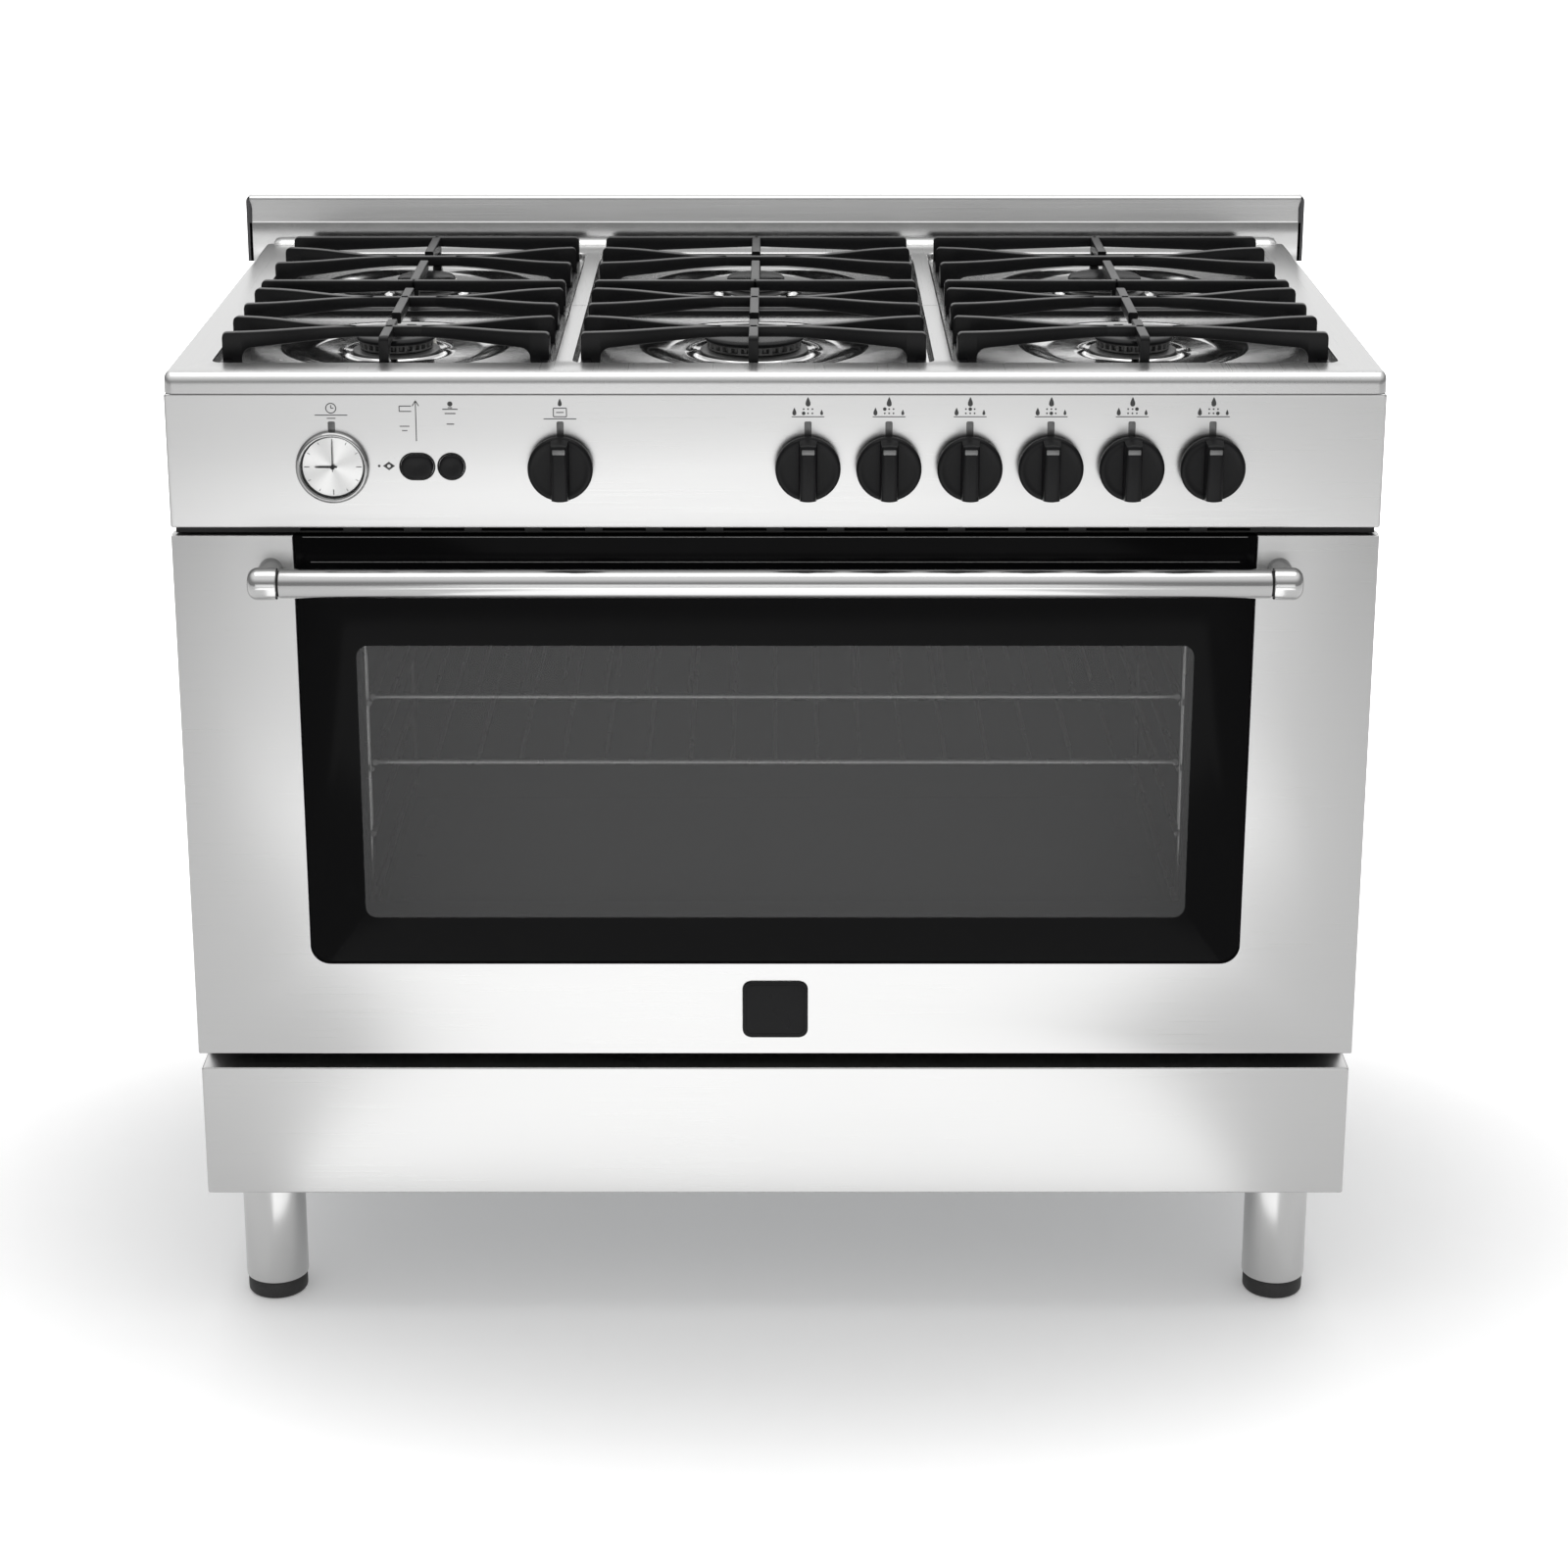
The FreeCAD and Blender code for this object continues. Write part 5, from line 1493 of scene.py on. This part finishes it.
class RANGE_OT_carried(bpy.types.Operator):
    """Give every piece that is kept from the frame its own finish"""

    bl_idname = "gas_range.carried"
    bl_label = "Finishes of the kept pieces"

    def execute(self, context):
        by_node = {
            "side_panel_left": wall_steel, "side_panel_right": wall_steel, "back_panel": galvanised,
            "base_pan": galvanised, "oven_liner": oven_enamel, "oven_insulation": blanket_fibre,
            "door_gasket": seal_fibre, "rack_guides": chrome_wire, "oven_rack_upper": chrome_wire,
            "oven_rack_lower": chrome_wire, "oven_floor": oven_enamel, "oven_burner": galvanised,
            "vent_trim": dark_joint_and_painted_shade, "gas_manifold": brass, "power_inlet": satin_plastic,
            "drawer_runners": galvanised, "drawer_box": galvanised, "door_liner": oven_enamel,
            "door_inner_glass": clear_glass, "hinge_arms": rod_steel, "oven_stem": rod_steel,
        }
        for number in range(1, 7):
            by_node["burner_stem_%d" % number] = rod_steel
        for node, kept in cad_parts.items():
            if kept.hide_render:
                continue
            if node not in by_node:
                raise RuntimeError("no finish for the kept piece %s" % node)
            material = by_node[node]()
            if not kept.material_slots:
                kept.data.materials.append(material)
            for slot in kept.material_slots:
                slot.material = material
        return {"FINISHED"}


# ------------------------------------------------------------ stage


def soft_light(name, power, wide, deep, place, target):
    """A rectangular soft light aimed at a point."""
    data = bpy.data.lights.new(name, "AREA")
    data.shape = "RECTANGLE"
    data.size = wide
    data.size_y = deep
    data.energy = power
    light = bpy.data.objects.new(name, data)
    light.location = place
    light.rotation_euler = (Vector(target) - Vector(place)).to_track_quat("-Z", "Y").to_euler()
    light.visible_camera = False
    bpy.context.scene.collection.objects.link(light)


class RANGE_OT_stage(bpy.types.Operator):
    """Lay the pale floor, hang the soft lights and set the camera"""

    bl_idname = "gas_range.stage"
    bl_label = "Stage"

    def floor_finish(self):
        material = bpy.data.materials.new("Pale floor")
        material.use_nodes = True
        tree = material.node_tree
        shader = tree.nodes["Principled BSDF"]
        place = tree.nodes.new("ShaderNodeTexCoord")
        grain = noise(tree, place.outputs["Object"], 30, 2.0, 0.5)
        ramp = tree.nodes.new("ShaderNodeValToRGB")
        ramp.color_ramp.elements[0].color = (0.90, 0.90, 0.90, 1)
        ramp.color_ramp.elements[1].color = (0.93, 0.93, 0.93, 1)
        tree.links.new(grain, ramp.inputs["Fac"])
        tree.links.new(ramp.outputs["Color"], shader.inputs["Base Color"])
        preset(shader, {"Roughness": 0.85, "Specular IOR Level": 0.1, "Emission Color": (1, 1, 1, 1)})
        # Painted light: seen by the camera, the floor glows more the farther it lies from the range, over an even
        # faint glow, so the far floor reads white.
        apart = tree.nodes.new("ShaderNodeVectorMath")
        apart.operation = "LENGTH"
        tree.links.new(stretched(tree, place.outputs["Object"], (0.6, 1, 1)), apart.inputs[0])
        painted_floor_glow_ramp = tree.nodes.new("ShaderNodeMapRange")
        painted_floor_glow_ramp.interpolation_type = "SMOOTHSTEP"
        preset(painted_floor_glow_ramp, {"From Min": 0.32, "From Max": 1.15, "To Min": 0.0, "To Max": 1.0})
        tree.links.new(apart.outputs["Value"], painted_floor_glow_ramp.inputs["Value"])
        path = tree.nodes.new("ShaderNodeLightPath")
        even = 0.15
        painted_floor_glow = maths(tree, "MULTIPLY_ADD", path.outputs["Is Camera Ray"], painted_floor_glow_ramp.outputs["Result"], even)
        tree.links.new(painted_floor_glow, shader.inputs["Emission Strength"])
        return material

    def execute(self, context):
        scene = context.scene
        floor = bmesh.new()
        half = 20
        count = 2 * half + 1
        for step in range(count):
            for across in range(count):
                floor.verts.new((across - half, step - half, 0))
        floor.verts.ensure_lookup_table()
        for step in range(count - 1):
            for across in range(count - 1):
                first = step * count + across
                floor.faces.new([floor.verts[first + shift] for shift in (0, 1, count + 1, count)])
        data = bpy.data.meshes.new("pale_floor")
        floor.to_mesh(data)
        floor.free()
        data.materials.append(self.floor_finish())
        ground = bpy.data.objects.new("pale_floor", data)
        ground.location.z = -mm(0.5)
        scene.collection.objects.link(ground)

        world = bpy.data.worlds.new("Studio")
        world.use_nodes = True
        tree = world.node_tree
        tree.nodes.clear()
        out = tree.nodes.new("ShaderNodeOutputWorld")
        path = tree.nodes.new("ShaderNodeLightPath")
        way = tree.nodes.new("ShaderNodeTexCoord")
        split = tree.nodes.new("ShaderNodeSeparateXYZ")
        height = tree.nodes.new("ShaderNodeMapRange")
        height.interpolation_type = "SMOOTHSTEP"
        preset(height, {"From Min": 0.30, "From Max": 0.85, "To Min": studio().surround,
                        "To Max": studio().ceiling})
        tree.links.new(way.outputs["Generated"], split.inputs[0])
        tree.links.new(split.outputs["Z"], height.inputs["Value"])
        mirrored = preset(tree.nodes.new("ShaderNodeBackground"), {"Color": (1, 1, 1, 1)})
        tree.links.new(height.outputs["Result"], mirrored.inputs["Strength"])
        shown = mirrored.outputs[0]
        for kind, strength in (("Is Diffuse Ray", studio().fill), ("Is Camera Ray", 1.0)):
            part = preset(tree.nodes.new("ShaderNodeBackground"), {"Color": (1, 1, 1, 1), "Strength": strength})
            mix = tree.nodes.new("ShaderNodeMixShader")
            tree.links.new(path.outputs[kind], mix.inputs["Fac"])
            tree.links.new(shown, mix.inputs[1])
            tree.links.new(part.outputs[0], mix.inputs[2])
            shown = mix.outputs[0]
        tree.links.new(shown, out.inputs["Surface"])
        scene.world = world
        scene.view_settings.view_transform = "Standard"

        soft_light("overhead_softbox", studio().overhead, 3.0, 2.4, (0, 0.2, 3.2), (0, 0, 0.9))
        soft_light("back_softbox", studio().back, 5.5, 2.4, (0, 4.4, 2.0), (0, 0, 0.8))
        soft_light("far_floor_softbox", studio().far_floor, 8, 4, (0, 6.5, 4.5), (0, 7.5, 0))
        soft_light("front_wall_softbox", studio().front, 4.0, 1.5, (0, -5.6, 0.95), (0, 0, 0.9))
        soft_light("near_lane_softbox", studio().near_lane, 1.0, 1.3, (0, -1.1, 0.03), (0, -1.1, 1))
        soft_light("far_lane_softbox", studio().far_lane, 2.0, 1.5, (0, -2.5, 0.03), (0, -2.5, 1))

        camera = bpy.data.cameras.new("camera")
        camera.lens = studio().lens
        camera.sensor_width = 36
        camera.shift_x = studio().shift_x
        camera.shift_y = studio().shift_y
        camera.dof.use_dof = False
        holder = bpy.data.objects.new("camera", camera)
        holder.location = (0, -studio().distance, studio().height)
        holder.rotation_euler = (math.pi / 2 - studio().tilt, 0, 0)
        scene.collection.objects.link(holder)
        scene.camera = holder
        return {"FINISHED"}


# ------------------------------------------------------------ add-on


class RANGE_PT_looks(bpy.types.Panel):
    """Sizes, finishes and steps of the gas range"""

    bl_idname = "RANGE_PT_looks"
    bl_label = "Gas range"
    bl_space_type = "VIEW_3D"
    bl_region_type = "UI"
    bl_category = "Gas range"

    def draw(self, context):
        layout = self.layout
        for group in (context.scene.range_sizes, context.scene.range_finishes, context.scene.range_studio):
            box = layout.box()
            for name in group.__annotations__:
                box.prop(group, name)
        for operator in OPERATORS:
            layout.operator(operator.bl_idname)


GROUPS = (RangeSizes, RangeFinishes, RangeStudio)
OPERATORS = (RANGE_OT_stage, RANGE_OT_cooktop, RANGE_OT_backguard, RANGE_OT_burners, RANGE_OT_supports,
             RANGE_OT_fascia, RANGE_OT_clock, RANGE_OT_buttons, RANGE_OT_knobs, RANGE_OT_door, RANGE_OT_handle,
             RANGE_OT_drawer, RANGE_OT_legs, RANGE_OT_fixings, RANGE_OT_carried)


def register():
    for item in GROUPS + OPERATORS + (RANGE_PT_looks,):
        bpy.utils.register_class(item)
    bpy.types.Scene.range_sizes = PointerProperty(type=RangeSizes)
    bpy.types.Scene.range_finishes = PointerProperty(type=RangeFinishes)
    bpy.types.Scene.range_studio = PointerProperty(type=RangeStudio)


def unregister():
    del bpy.types.Scene.range_studio
    del bpy.types.Scene.range_finishes
    del bpy.types.Scene.range_sizes
    for item in reversed(GROUPS + OPERATORS + (RANGE_PT_looks,)):
        bpy.utils.unregister_class(item)


def main():
    register()
    steps = bpy.ops.gas_range
    steps.stage()
    steps.cooktop()
    steps.backguard()
    steps.burners()
    steps.supports()
    steps.fascia()
    steps.clock()
    steps.buttons()
    steps.knobs()
    steps.door()
    steps.handle()
    steps.drawer()
    steps.legs()
    steps.fixings()
    steps.carried()


if __name__ == "__main__":
    main()
